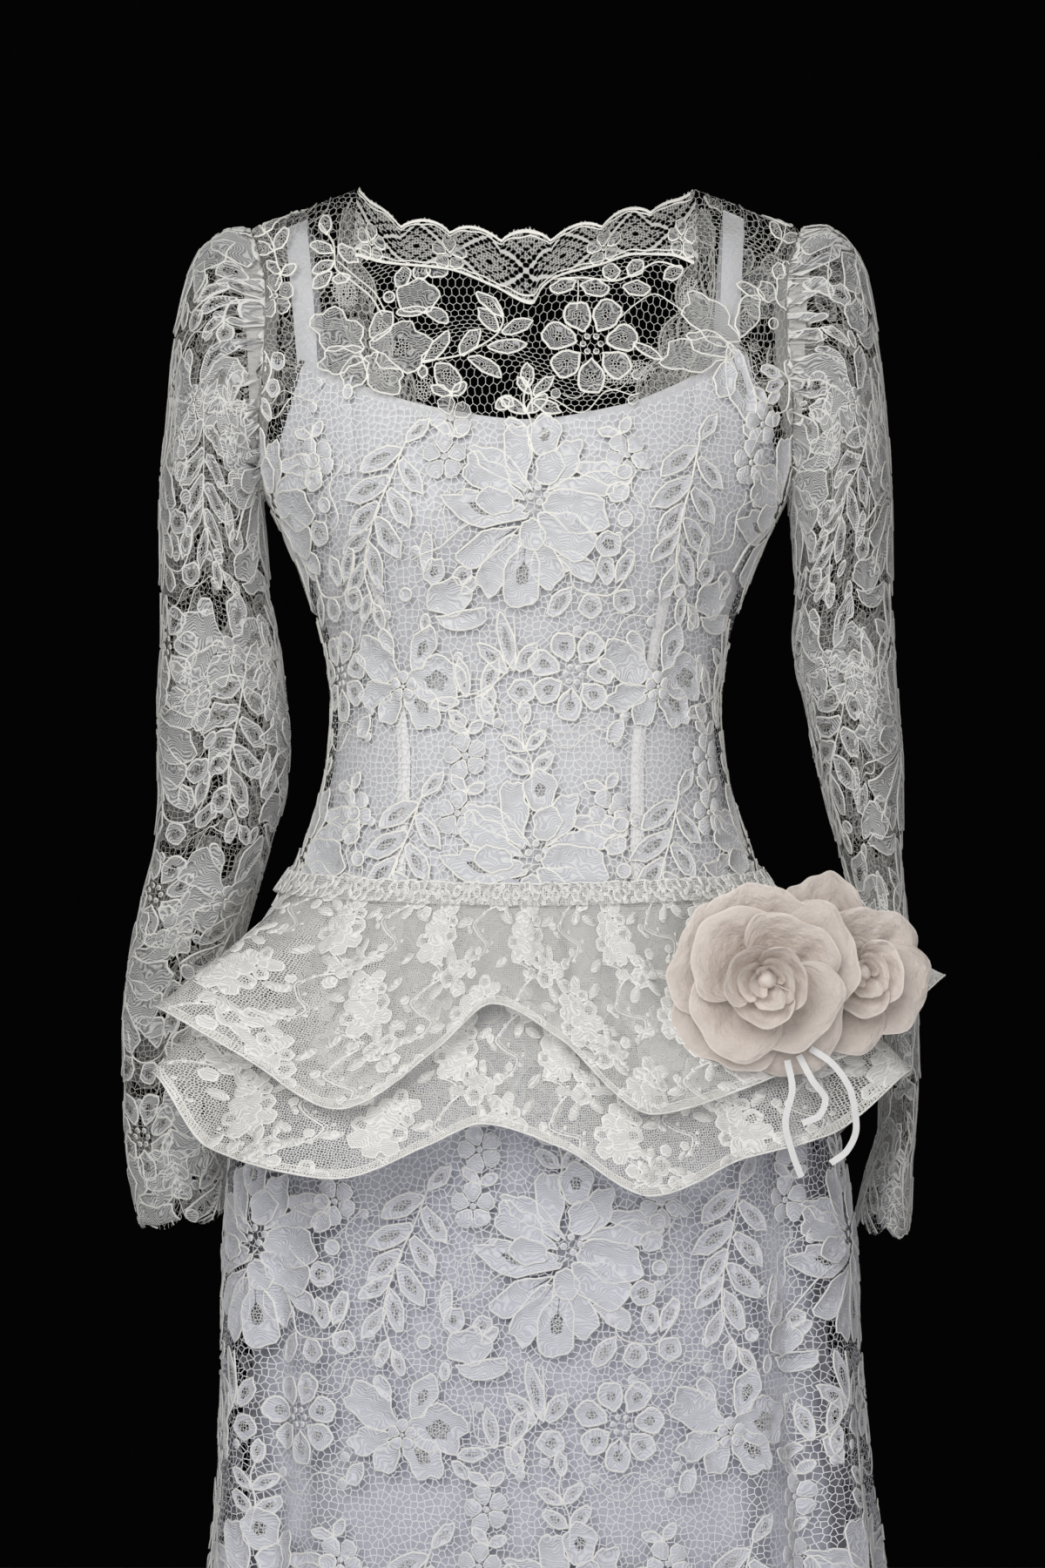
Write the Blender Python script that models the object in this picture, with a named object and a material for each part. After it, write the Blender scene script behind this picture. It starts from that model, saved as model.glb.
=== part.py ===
"""Full-length wedding dress, worn shape with no wearer: a satin underdress on straps, a corded-lace
overdress with long sleeves and an open back, a two-tier gathered lace peplum at the dropped waist, and
two organza roses with ribbon ends on one hip.

Metres, +Z up. The front faces -Y and +X is the wearer's left. The origin is midway between the tops of
the shoulders, where the wearer carries the dress. Tables and sizes are in millimetres; metres() turns
them into scene units.
"""

import math

import bmesh
import bpy
import numpy as np
from mathutils import Vector
from mathutils.geometry import delaunay_2d_cdt

# Cloth
WALL = 1.0  # every cloth wall
SEAM_GAP = 0.3  # between neighbouring pieces along a seam
LAY_GAP = 3.2  # between the lining and the lace over it
LAP_GAP = 1.0  # under a band, a casing or a placket
SQUARE = 2.2  # squareness of the body's sections; 2 is an ellipse

# Levels, measured down from the shoulder tops
NECK_POINT_Z = 12.0
SHOULDER_END_Z = -14.0
UNDERARM_Z = -179.0
LINING_BACK_TOP_Z = -176.0
PEPLUM_SEAM_Z = -424.0
PEPLUM_SEAM_DIP = 7.0  # the seam runs this much lower in front and higher behind
LACE_HEM_Z = -1416.0
LINING_HEM_Z = -1402.0

# Neckline and lace repeat
NECK_BACK_Z = -168.0
SCALLOP_WIDTH = 30.0
SCALLOP_DEPTH = 6.0
BACK_BAND_WIDTH = 20.0
BAND_ENDS_AT = 103.0  # x of the front band's ends
HONEYCOMB_PITCH = 5.8
HONEYCOMB_HOLE = 2.3  # corner radius of one open cell, over 4 mm across

# Small pieces
STRAP_WIDTH = 13.0
CASING_WIDTH = 7.0
CASING_TOP_Z = -210.0
PLACKET_WIDTH = 14.0
BINDING_WIDTH = 6.0
RIBBON_WIDTH = 4.0
HEADING_BELOW, HEADING_ABOVE = 6.0, 8.0
HEADING_GATHERS = 40
PEPLUM_EDGE_WIDTH = 5.5

QUARTER = math.pi / 2
NUDGE = 1e-4  # keeps a panel's edge on its own side of the side seam


def metres(point):
    return Vector(point) / 1000


# ---------------------------------------------------------------- tables


def table(columns, *rows):
    """Rows with named columns, sorted by the first column, with a smooth slope at each row."""
    names = columns.split()
    values = np.array(sorted(rows), float)
    keys = values[:, 0]
    slopes = {}
    for index, name in enumerate(names[1:], 1):
        steps = np.diff(values[:, index]) / np.diff(keys)
        inner = np.where(steps[1:] * steps[:-1] > 0, 2 * steps[1:] * steps[:-1], 0)
        inner = inner / np.where(inner == 0, 1, steps[1:] + steps[:-1])
        slopes[name] = np.concatenate([[steps[0]], inner, [steps[-1]]])
    return {"keys": keys, "slopes": slopes} | {
        name: values[:, index] for index, name in enumerate(names)
    }


def read(rows, column, at):
    """A column's value at a place along the first column, on a curve with no overshoot."""
    keys = rows["keys"]
    at = min(max(at, keys[0]), keys[-1])
    low = min(int(np.searchsorted(keys, at, side="right")) - 1, len(keys) - 2)
    step = keys[low + 1] - keys[low]
    t = (at - keys[low]) / step
    start, end = rows[column][low], rows[column][low + 1]
    rise_start, rise_end = (rows["slopes"][column][low + i] * step for i in (0, 1))
    return (
        (2 * t**3 - 3 * t**2 + 1) * start
        + (t**3 - 2 * t**2 + t) * rise_start
        + (3 * t**2 - 2 * t**3) * end
        + (t**3 - t**2) * rise_end
    )


def around(columns, *rows):
    """A table over a full turn in degrees: the rows again a turn before and after."""
    turned = [(row[0] + turn, *row[1:]) for turn in (-360, 0, 360) for row in rows]
    return table(columns, *turned)


# Sections of the lace overdress: half width, depth before and behind the shoulder line, and centre
BODY = table(
    "z half_width front back centre",
    (12, 108, 6, 6, 0),
    (5, 126, 20, 18, 0),
    (-4, 147, 33, 30, 0),
    (-14, 172, 46, 42, 0),
    (-35, 181, 62, 57, 0),
    (-70, 183, 78, 73, 0),
    (-110, 180, 90, 84, 0),
    (-145, 174, 97, 91, 0),
    (-179, 164, 101, 95, 0),
    (-200, 154, 102, 95, 0),
    (-222, 144, 100, 92, 0),
    (-244, 136, 97, 88, 0),
    (-266, 129, 93, 84, 0),
    (-290, 124, 89, 80, 0),
    (-318, 122, 87, 78, 0),
    (-345, 124, 88, 81, 0),
    (-374, 130, 91, 88, 0),
    (-400, 139, 96, 96, 0),
    (-431, 151, 101, 106, 0),
    (-473, 164, 106, 117, 1),
    (-528, 179, 110, 125, 4),
    (-583, 191, 113, 128, 6),
    (-660, 199, 117, 131, 8),
    (-748, 201, 122, 137, 9),
    (-836, 207, 131, 148, 11),
    (-950, 223, 146, 165, 12),
    (-1080, 246, 165, 187, 12),
    (-1220, 276, 187, 214, 12),
    (-1416, 318, 216, 252, 12),
)

# How far the satin skirt hangs inside the lace one
STAND_OFF = table(
    "z side fore_and_aft",
    (-431, 1.8, 1.8),
    (-520, 8, 3.5),
    (-600, 16, 5),
    (-836, 18, 7),
    (-1100, 22, 12),
    (-1416, 28, 18),
)

# Bust cups, one on each side of the centre front
CUP_X, CUP_Z, CUP_HEIGHT, CUP_SPREAD = 74.0, -196.0, 15.0, 38.0

# Soft upright folds of the skirt: where, how proud at the hem, how wide, and where each starts
FOLDS = (
    # angle, height, half width in degrees, start
    (-64, 20, 9, -560),
    (-31, 15, 10, -900),
    (29, 16, 9, -860),
    (63, 24, 8, -560),
    (88, 18, 9, -700),
    (112, 22, 9, -620),
    (140, 20, 10, -560),
    (171, 24, 10, -560),
    (203, 20, 9, -600),
    (230, 23, 10, -580),
    (258, 18, 9, -660),
)


def fold_height(angle, z):
    """How far the skirt's folds stand out at an angle and a level."""
    total = 0.0
    for where, height, half_width, start in FOLDS:
        grown = max(0.0, (start - z) / (start - LACE_HEM_Z)) ** 0.8
        away = (math.degrees(angle) - where + 180) % 360 - 180
        total += height * grown * math.exp(-((away / half_width) ** 2))
    return total


def section_point(angle, z, inside=(0.0, 0.0)):
    """A point of the dress at an angle from the front and a level; inside narrows width and depth."""
    s, c = math.sin(angle), math.cos(angle)
    wide = read(BODY, "half_width", z) - inside[0]
    deep = read(BODY, "front" if c > 0 else "back", z) - inside[1]
    x = read(BODY, "centre", z) + wide * math.copysign(abs(s) ** (2 / SQUARE), s)
    y = -math.copysign(deep * abs(c) ** (2 / SQUARE) + SEAM_GAP / 2, c)
    folds = fold_height(angle, z)
    x += folds * s
    y -= folds * c
    if c > 0:
        for side in (-1, 1):
            far = (x - side * CUP_X) ** 2 + (z - CUP_Z) ** 2
            y -= CUP_HEIGHT * math.exp(-far / (2 * CUP_SPREAD**2))
    return Vector((x, y, z))


def angle_at_x(x, z, behind=False):
    """The angle in the front or back half at which a section reaches x."""
    share = (x - read(BODY, "centre", z)) / read(BODY, "half_width", z)
    share = min(max(share, -1.0), 1.0)
    angle = math.asin(math.copysign(abs(share) ** (SQUARE / 2), share))
    return math.pi - angle if behind else angle


# ---------------------------------------------------------------- making cloth


def scene_material(name, colour, roughness, alpha=1.0):
    made = bpy.data.materials.new(name)
    made.use_nodes = True
    shader = made.node_tree.nodes["Principled BSDF"]
    shader.inputs["Base Color"].default_value = (*colour, 1)
    shader.inputs["Roughness"].default_value = roughness
    shader.inputs["Metallic"].default_value = 0.0
    shader.inputs["Alpha"].default_value = alpha
    return made


def finish(name, mesh, material, thickness):
    """The mesh as a scene object whose wall Solidify grows outwards."""
    data = bpy.data.meshes.new(name)
    mesh.to_mesh(data)
    mesh.free()
    data.shade_smooth()
    made = bpy.data.objects.new(name, data)
    bpy.context.scene.collection.objects.link(made)
    data.materials.append(material)
    if thickness:
        wall = made.modifiers.new("Wall", "SOLIDIFY")
        wall.thickness = thickness / 1000
        wall.offset = 1.0
        wall.use_quality_normals = True
    return made


def cloth(name, material, point, columns, rows, closed=False, thickness=WALL):
    """A wall on the surface point(u, v), from 0 to 1; columns and rows are counts or lists of places."""
    us, vs = (np.linspace(0, 1, n + 1) if isinstance(n, int) else n for n in (columns, rows))
    mesh = bmesh.new()
    bmesh.ops.create_grid(mesh, x_segments=len(us) - 1, y_segments=len(vs) - 1, size=0.5)
    for vertex in mesh.verts:
        column = round((vertex.co.x + 0.5) * (len(us) - 1))
        row = round((vertex.co.y + 0.5) * (len(vs) - 1))
        vertex.co = metres(point(us[column], vs[row]))
    if closed:
        bmesh.ops.remove_doubles(mesh, verts=mesh.verts, dist=1e-6)
    return finish(name, mesh, material, thickness)


def raised(point, by):
    """The surface moved out along its own normals."""
    step = 2e-3

    def moved(u, v):
        across = point(min(u + step, 1), v) - point(max(u - step, 0), v)
        up = point(u, min(v + step, 1)) - point(u, max(v - step, 0))
        return point(u, v) + across.cross(up).normalized() * by

    return moved


def part_of(point, left=0.0, right=1.0, bottom=0.0, top=1.0):
    """A part of a surface, as a surface of its own."""
    return lambda u, v: point(left + (right - left) * u, bottom + (top - bottom) * v)


def panel(left, right, bottom, top, inside=None):
    """The dress's surface between two seams, left(z) and right(z), and two edges, bottom(angle) and top(angle)."""

    def point(u, v):
        angle = (left(PEPLUM_SEAM_Z) + right(PEPLUM_SEAM_Z)) / 2
        for _ in range(6):
            z = bottom(angle) + v * (top(angle) - bottom(angle))
            angle = left(z) + u * (right(z) - left(z))
        return section_point(angle, z, inside(z) if inside else (0.0, 0.0))

    return point


def level(z):
    return lambda angle: z


def seam(angle_of, side):
    """A seam line moved to one side of it by half the seam gap."""
    return lambda z: angle_of(z) + side * SEAM_GAP / 2 / read(BODY, "front", z)


def upright(degrees):
    return lambda z: math.radians(degrees)


def peplum_seam_z(angle):
    return PEPLUM_SEAM_Z - PEPLUM_SEAM_DIP * math.cos(angle)


# ---------------------------------------------------------------- armholes

ARMHOLE_MIDDLE = (SHOULDER_END_Z + UNDERARM_Z) / 2
ARMHOLE_HALF_HEIGHT = (SHOULDER_END_Z - UNDERARM_Z) / 2
ARMHOLE_HALF_DEPTH = 44.0


def armhole_angle(z, behind=False):
    """The angle of the armhole's edge at a level, before or behind the shoulder line."""
    away = (z - ARMHOLE_MIDDLE) / ARMHOLE_HALF_HEIGHT
    depth = ARMHOLE_HALF_DEPTH * math.sqrt(max(0.0, 1 - away * away))
    share = depth / read(BODY, "back" if behind else "front", z)
    angle = math.acos(share ** (SQUARE / 2))
    return math.pi - angle if behind else angle


# ---------------------------------------------------------------- lace walls with open cells

FLAT = 120.0  # millimetres of flat pattern for one radian round the body
GRID_ACROSS, GRID_DOWN = 20.0, 24.0


def flat(angle, z):
    return Vector((angle * FLAT, z))


def honeycomb(x, z, rows):
    """Open six-sided cells in staggered rows round a middle, as corner lists on the flat pattern."""
    cells = []
    for row, count in enumerate(rows):
        for place in range(count):
            middle_x = x + (place - (count - 1) / 2) * HONEYCOMB_PITCH
            middle_z = z - (row - (len(rows) - 1) / 2) * HONEYCOMB_PITCH * 0.866
            turns = [math.radians(60 * i + 30) for i in range(6)]
            corners = [
                (middle_x + HONEYCOMB_HOLE * math.cos(t), middle_z + HONEYCOMB_HOLE * math.sin(t))
                for t in turns
            ]
            cells.append(corners)
    return cells


def cut_lace(name, material, outline, cells, inner):
    """A wall on the dress's surface, inside a flat outline, with cells cut through it."""
    loops = [outline, *cells]
    corners, edges = [], []
    for loop in loops:
        first = len(corners)
        corners += loop
        edges += [(first + i, first + (i + 1) % len(loop)) for i in range(len(loop))]
    middles = [sum(cell, Vector((0, 0))) / len(cell) for cell in cells]
    kept = [p for p in inner if all((p - q).length > GRID_ACROSS * 0.45 for q in corners)]
    placed, _, faces, *_ = delaunay_2d_cdt(corners + kept, edges, [], 1, 1e-4)
    mesh = bmesh.new()
    verts = [mesh.verts.new(metres(section_point(p.x / FLAT, p.y))) for p in placed]
    for face in faces:
        middle = sum((placed[i] for i in face), Vector((0, 0))) / 3
        if all((middle - hole).length > HONEYCOMB_HOLE * 0.8 for hole in middles):
            mesh.faces.new([verts[i] for i in face])
    loose = [v for v in mesh.verts if not v.link_faces]
    bmesh.ops.delete(mesh, geom=loose, context="VERTS")
    return finish(name, mesh, material, WALL)


# Necklines
FRONT_NECK = table(
    "x z",
    (-108, NECK_POINT_Z),
    (-98, 4),
    (-88, -4),
    (-80, -12),
    (-69, -20),
    (-40, -23),
    (0, -23.5),
    (30, -23),
    (46, -19),
    (56, -11),
    (72, -8),
    (86, -5),
    (97, 2),
    (108, NECK_POINT_Z),
)
BACK_NECK = (
    # x and z, from the neck point down to the centre back
    (108, NECK_POINT_Z),
    (109, -10),
    (107, -33),
    (99, -62),
    (86, -92),
    (69, -120),
    (46, -146),
    (22, -161),
    (0, NECK_BACK_Z),
)
# Corded lower edge of the front band, down to its point
BAND_LOW = table(
    "x z", (-103, -38), (-80, -38), (-46, -45), (-20, -53), (3, -65), (20, -53), (42, -41), (75, -34), (103, -38)
)


def side_levels(bottom, top):
    """Levels down a lace panel's side edge: side seam, armhole and shoulder seam."""
    side = np.linspace(bottom, UNDERARM_Z, 11)
    turns = np.linspace(math.pi, 0, 13)[1:]
    arm = ARMHOLE_MIDDLE + ARMHOLE_HALF_HEIGHT * np.cos(turns)
    shoulder = np.linspace(SHOULDER_END_Z, top, 4)[1:]
    return [*side, *arm, *shoulder]


def across(x, z, behind=False):
    """The point of the front or of the back at x and z."""
    angle = angle_at_x(x, z, behind)
    return section_point(angle, z)


def smooth_route(places):
    """A smooth curve through a route's places, as a function from 0 to 1."""
    names = "xyz"[: len(places[0])]
    rows = table("t " + " ".join(names), *[(i / (len(places) - 1), *p) for i, p in enumerate(places)])
    return lambda t: Vector([read(rows, name, t) for name in names])


# ---------------------------------------------------------------- materials

SATIN = scene_material("satin_lining", (0.86, 0.86, 0.88), 0.38)
LACE = scene_material("corded_lace", (0.90, 0.89, 0.86), 0.75)
BORDER = scene_material("lace_border", (0.91, 0.90, 0.86), 0.75)
PEPLUM_LACE = scene_material("peplum_lace", (0.90, 0.87, 0.82), 0.75)
ORGANZA = scene_material("organza", (0.88, 0.83, 0.78), 0.6)
RIBBON = scene_material("satin_ribbon", (0.93, 0.92, 0.90), 0.3)


# ---------------------------------------------------------------- satin underdress

PRINCESS = {
    # x of the princess seam down the front, on each side
    -1: table("z x", (-105, -112), (-176, -106), (-222, -94), (-286, -80), (-352, -71), (-431, -74)),
    1: table("z x", (-105, 108), (-176, 100), (-222, 88), (-286, 74), (-352, 64), (-431, 63)),
}
SCOOP = table("x z", (-150, -96), (-137, -102), (-110, -116), (-60, -133), (0, -141), (60, -132), (105, -113), (125, -102), (140, -97))
STRAPS = {
    # x of the strap at the front end, over the shoulder and at the back end
    -1: table("turn x", (0, -135), (0.45, -145), (1, -128)),
    1: table("turn x", (0, 125), (0.45, 131), (1, 124)),
}
RIDGE = table("x z", (108, 12), (126, 5), (147, -4), (172, -14))  # top of the shoulders
STRAP_DROP = 6.0  # straps run this far under the lace's shoulder
STRAP_INSET = 4.0
STRAP_STARTS = {-1: 4.8, 1: 1.9}  # above the lining's edge, whose straight chords lie a little off its curve
LINING_DEPTH = LAY_GAP + WALL
BACK_SEAM = 142.0  # angle of the side-back seams


def princess_angle(side):
    return lambda z: angle_at_x(read(PRINCESS[side], "x", z), z)


def lining_top_z(angle):
    """The underdress's top edge: a wide scoop in front, the underarm at the side, level behind."""
    if math.cos(angle) <= 0:
        return LINING_BACK_TOP_Z
    x = section_point(angle, -110)[0]
    if abs(x) < 140:
        return read(SCOOP, "z", x)
    rest = min(1.0, (abs(x) - 140) / 40)
    return -97 + (LINING_BACK_TOP_Z + 97) * rest**0.7


def lining(z):
    return (LINING_DEPTH, LINING_DEPTH)


def lining_panel(name, left, right, columns):
    surface = panel(seam(left, 1), seam(right, -1), peplum_seam_z, lining_top_z, lining)
    cloth(name, SATIN, surface, columns, 8)
    return surface


def skirt_lining(z):
    return (
        LINING_DEPTH + read(STAND_OFF, "side", z) - 1.8,
        LINING_DEPTH + read(STAND_OFF, "fore_and_aft", z) - 1.8,
    )


def hem_to_seam(hem):
    return level(hem), lambda angle: peplum_seam_z(angle) - SEAM_GAP


def build_underdress():
    lining_panel("lining_front", princess_angle(-1), princess_angle(1), 8)
    # The side panels have their columns close together under the strap.
    places = (0, 0.04, 0.08, 0.12, 0.2, 0.35, 0.5, 0.66, 0.83, 1)
    mirrored = [1 - place for place in reversed(places)]
    lining_panel("lining_side_right", upright(-BACK_SEAM), princess_angle(-1), mirrored)
    lining_panel("lining_side_left", princess_angle(1), upright(BACK_SEAM), places)
    lining_panel("lining_back_right", upright(-180), upright(-BACK_SEAM), 3)
    lining_panel("lining_back_left", upright(BACK_SEAM), upright(180), 3)
    bottom, top = hem_to_seam(LINING_HEM_Z)
    for name, left, right in (("front", -89.999, 89.999), ("back", 90.001, 269.999)):
        surface = panel(upright(left), upright(right), bottom, top, skirt_lining)
        cloth(f"underskirt_{name}", SATIN, surface, 16, 5)
    for side, word in ((-1, "right"), (1, "left")):
        build_strap(side, word)
        build_casing(side, word)


def build_strap(side, word):
    """A strap from the scoop's corner over the shoulder to the back's top edge."""
    turn = 0.45

    def point(u, v):
        # It climbs the front, crosses under the shoulder seam and goes down the back.
        x = read(STRAPS[side], "x", v) + (u - 0.5) * STRAP_WIDTH
        before = v <= turn
        up = v / turn if before else (1 - v) / (1 - turn)
        start = lining_top_z(angle_at_x(x, -110)) if before else LINING_BACK_TOP_Z
        start += STRAP_STARTS[side] if before else 0.6
        ridge = read(RIDGE, "z", abs(x)) - STRAP_DROP
        z = start + (ridge - start) * math.sin(up * QUARTER)
        wide = read(BODY, "half_width", z + STRAP_DROP)
        deep = read(BODY, "front" if before else "back", z + STRAP_DROP)
        y = deep * max(0.0, 1 - min(abs(x) / wide, 1.0) ** SQUARE) ** (1 / SQUARE)
        y -= min(STRAP_INSET, y)
        return Vector((x, -y if before else y, z))

    cloth(f"strap_{word}", SATIN, point, 1, 16)


def build_casing(side, word):
    """A boning casing sewn on the lining beside the princess seam."""
    line = princess_angle(side)
    half = CASING_WIDTH / 2 + 1.0

    def beside(z, across):
        return line(z) + side * (half + across * CASING_WIDTH / 2) / read(BODY, "front", z)

    surface = panel(
        lambda z: beside(z, -side),
        lambda z: beside(z, side),
        lambda angle: peplum_seam_z(angle) + 6,
        level(CASING_TOP_Z),
        lambda z: (LINING_DEPTH - LAP_GAP - WALL - min(0.5, (CASING_TOP_Z - z) * 0.008),) * 2,
    )
    cloth(f"boning_casing_{word}", SATIN, surface, 1, 9)


# ---------------------------------------------------------------- lace overdress

YOKE_CELLS = (
    # middle of each honeycomb filling and its cells row by row
    (-143, -78, (2, 3, 2)),
    (-26, -117, (4, 5, 4)),
    (82, -66, (3, 4, 3)),
    (150, -98, (2, 1)),
)


def build_lace_bodice():
    levels = side_levels(PEPLUM_SEAM_Z, NECK_POINT_Z)
    edge = [
        flat(armhole_angle(z) if UNDERARM_Z < z < SHOULDER_END_Z else QUARTER - NUDGE, z)
        for z in levels
    ]
    neck = []
    for x in np.linspace(-107, 107, 29):
        z = read(FRONT_NECK, "z", x)
        neck.append(flat(angle_at_x(x, z), z))
    waist = [flat(a, peplum_seam_z(a)) for a in np.linspace(-QUARTER, QUARTER, 17)[1:-1]]
    cells = [
        [flat(angle_at_x(x, z), z) for x, z in cell]
        for row in YOKE_CELLS
        for cell in honeycomb(*row)
    ]
    outline = edge + neck[::-1] + [Vector((-p.x, p.y)) for p in reversed(edge)] + waist
    cut_lace("lace_front", LACE, outline, cells, grid_inside(outline, -QUARTER, QUARTER))

    half_gap = SEAM_GAP / 2 / 90
    centre_back = math.pi - half_gap
    for side, word in ((-1, "right"), (1, "left")):
        edge = [
            flat(armhole_angle(z, True) if UNDERARM_Z < z < SHOULDER_END_Z else QUARTER + NUDGE, z)
            for z in levels
        ]
        places = [smooth_route(BACK_NECK)(t) for t in np.linspace(0, 1, 17)[1:-1]]
        neck = [flat(angle_at_x(p.x, p.y, True), p.y) for p in places]
        seam_z = peplum_seam_z(math.pi)
        centre = [flat(centre_back, z) for z in np.linspace(NECK_BACK_Z, seam_z, 11)]
        waist = [flat(a, peplum_seam_z(a)) for a in np.linspace(centre_back, QUARTER, 9)[1:-1]]
        outline = edge + neck + centre + waist
        inner = grid_inside(outline, QUARTER, math.pi)
        if side < 0:
            outline = [Vector((-p.x, p.y)) for p in reversed(outline)]
            inner = [Vector((-p.x, p.y)) for p in inner]
        cut_lace(f"lace_back_{word}", LACE, outline, [], inner)


def grid_inside(outline, start, end):
    """Even points inside a flat outline, clear of its edge."""
    points = []
    for row, z in enumerate(np.arange(PEPLUM_SEAM_Z + GRID_DOWN, NECK_POINT_Z, GRID_DOWN)):
        shift = GRID_ACROSS / 2 * (row % 2)
        for x in np.arange(start * FLAT + shift, end * FLAT, GRID_ACROSS):
            point = Vector((x, z))
            if within(point, outline):
                points.append(point)
    return points


def within(point, outline):
    """True if the point is inside the outline, by counting the edges that a ray to its side crosses."""
    crossed = False
    for a, b in zip(outline, outline[1:] + outline[:1]):
        if (a.y > point.y) != (b.y > point.y):
            crossed ^= point.x < a.x + (point.y - a.y) / (b.y - a.y) * (b.x - a.x)
    return crossed


def scallops(length_along):
    """Height of a scalloped edge above its valleys at a length along the edge."""
    return SCALLOP_DEPTH * abs(math.sin(math.pi * length_along / SCALLOP_WIDTH)) ** 0.7


def build_neck_bands():
    """Scalloped border of the lace, sewn over the neckline's edge."""

    def front(u, v):
        x = (u * 2 - 1) * BAND_ENDS_AT
        low = read(BAND_LOW, "z", x)
        top = read(FRONT_NECK, "z", x) + scallops(x + SCALLOP_WIDTH / 2)
        return across(x, low + v * (top - low))

    cloth("neck_band_front", BORDER, raised(front, WALL + LAP_GAP + 0.4), 42, 2)

    route = smooth_route(BACK_NECK)
    turns = np.linspace(0.05, 1, 41)  # from just below the shoulder seam
    steps = [(route(b) - route(a)).length for a, b in zip(turns, turns[1:])]
    lengths = np.concatenate([[0], np.cumsum(steps)])
    fitted = lengths[-1] / round(lengths[-1] / SCALLOP_WIDTH) / SCALLOP_WIDTH
    for side, word in ((-1, "right"), (1, "left")):

        def back(u, v, side=side):
            length = (u if side > 0 else 1 - u) * lengths[-1]
            t = np.interp(length, lengths, turns)
            along = (route(min(t + 0.02, 1)) - route(max(t - 0.02, 0))).normalized()
            reach = scallops(length / fitted)
            width = BACK_BAND_WIDTH * (0.4 + 0.6 * min(1.0, length / 60))
            at = route(t) + Vector((-along.y, along.x)) * (width - v * (width + reach))
            x = max(at.x, 0.15)
            return across(side * x, min(at.y, read(RIDGE, "z", x) - 0.4), True)

        cloth(f"neck_band_back_{word}", BORDER, raised(back, WALL + 0.7), 26, 2)


def build_placket():
    """Lapped strip over the hooks of the centre-back closing."""
    half = math.degrees(PLACKET_WIDTH / 2 / 90)
    surface = panel(
        upright(180 - half),
        upright(180 + half),
        lambda angle: peplum_seam_z(angle) + 14,
        level(NECK_BACK_Z - BACK_BAND_WIDTH - 1.5),
    )
    cloth("back_placket", LACE, raised(surface, WALL + LAP_GAP), 1, 9)


def build_lace_skirt():
    bottom, top = hem_to_seam(LACE_HEM_Z)
    for name, left, right, columns in (
        ("front", -89.999, 89.999, 24),
        ("back_left", 90.001, 179.93, 12),
        ("back_right", 180.07, 269.999, 12),
    ):
        surface = panel(upright(left), upright(right), bottom, top)
        cloth(f"lace_skirt_{name}", LACE, surface, columns, 7)


# ---------------------------------------------------------------- sleeves

# Each row is one ring: its two ends seen from the front, its centre and half depth
SLEEVE_RIGHT = (
    # west x, west z, east x, east z, centre y, half depth
    (-188, -15, -169, -185, 1, 47),
    (-202, -25, -169, -191, 2, 50),
    (-212, -44, -168, -199, 3, 52),
    (-222, -88, -167, -211, 5, 53),
    (-226, -132, -166, -226, 7, 53),
    (-230, -176, -165, -243, 9, 52),
    (-231, -220, -161, -264, 12, 51),
    (-231, -264, -158, -286, 15, 50),
    (-233, -308, -156, -311, 18, 49),
    (-233, -334, -154, -334, 21, 47),
    (-233, -366, -156, -366, 26, 45),
    (-236, -400, -165, -400, 33, 43),
    (-246, -440, -177, -440, 42, 41),
    (-254, -484, -190, -484, 50, 39),
    (-258, -528, -196, -528, 56, 38),
    (-258, -566, -197, -566, 60, 37),
    (-256, -600, -195, -600, 62, 37),
    (-251, -628, -193, -624, 63, 37),
    (-246, -650, -191, -642, 63, 36),
)
SLEEVE_LEFT = (
    (169, -185, 188, -12, 1, 47),
    (169, -191, 199, -19, 2, 50),
    (170, -199, 212, -39, 3, 52),
    (172, -221, 220, -77, 5, 53),
    (173, -238, 226, -132, 7, 53),
    (172, -255, 229, -187, 11, 53),
    (171, -270, 230, -231, 14, 52),
    (173, -288, 232, -275, 18, 52),
    (181, -320, 234, -312, 22, 51),
    (187, -350, 237, -345, 27, 50),
    (194, -376, 238, -374, 32, 49),
    (205, -416, 239, -416, 39, 48),
    (216, -460, 244, -460, 46, 47),
    (224, -506, 249, -506, 53, 46),
    (231, -550, 251, -550, 58, 45),
    (230, -585, 249, -585, 61, 44),
    (222, -614, 247, -614, 62, 43),
    (216, -640, 246, -640, 62, 42),
    (215, -650, 244, -654, 62, 41),
)
SLEEVE_COLUMNS = 16
SLEEVE_ROWS = (0, 0.8, 2, 3.5, 5, 7, 9, 11, 13, 15, 17, 19, 20)
CUFF_SCALLOPS = 6
SLEEVE_CREASES = ((3, 0.4, 1.6), (5, 1.9, 1.2), (7, 3.1, 0.7))  # count round, turn, depth


def armhole_ring(side, turn, out):
    """A point of the armhole's edge, moved away from the body, at a turn round the sleeve."""
    up = -math.sin(turn) * -side
    z = ARMHOLE_MIDDLE + ARMHOLE_HALF_HEIGHT * min(max(up, -0.9999), 0.9999)
    behind = math.cos(turn) < 0
    edge = section_point(side * armhole_angle(z, behind), z)
    return edge + Vector((side * out, 0, 0))


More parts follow.
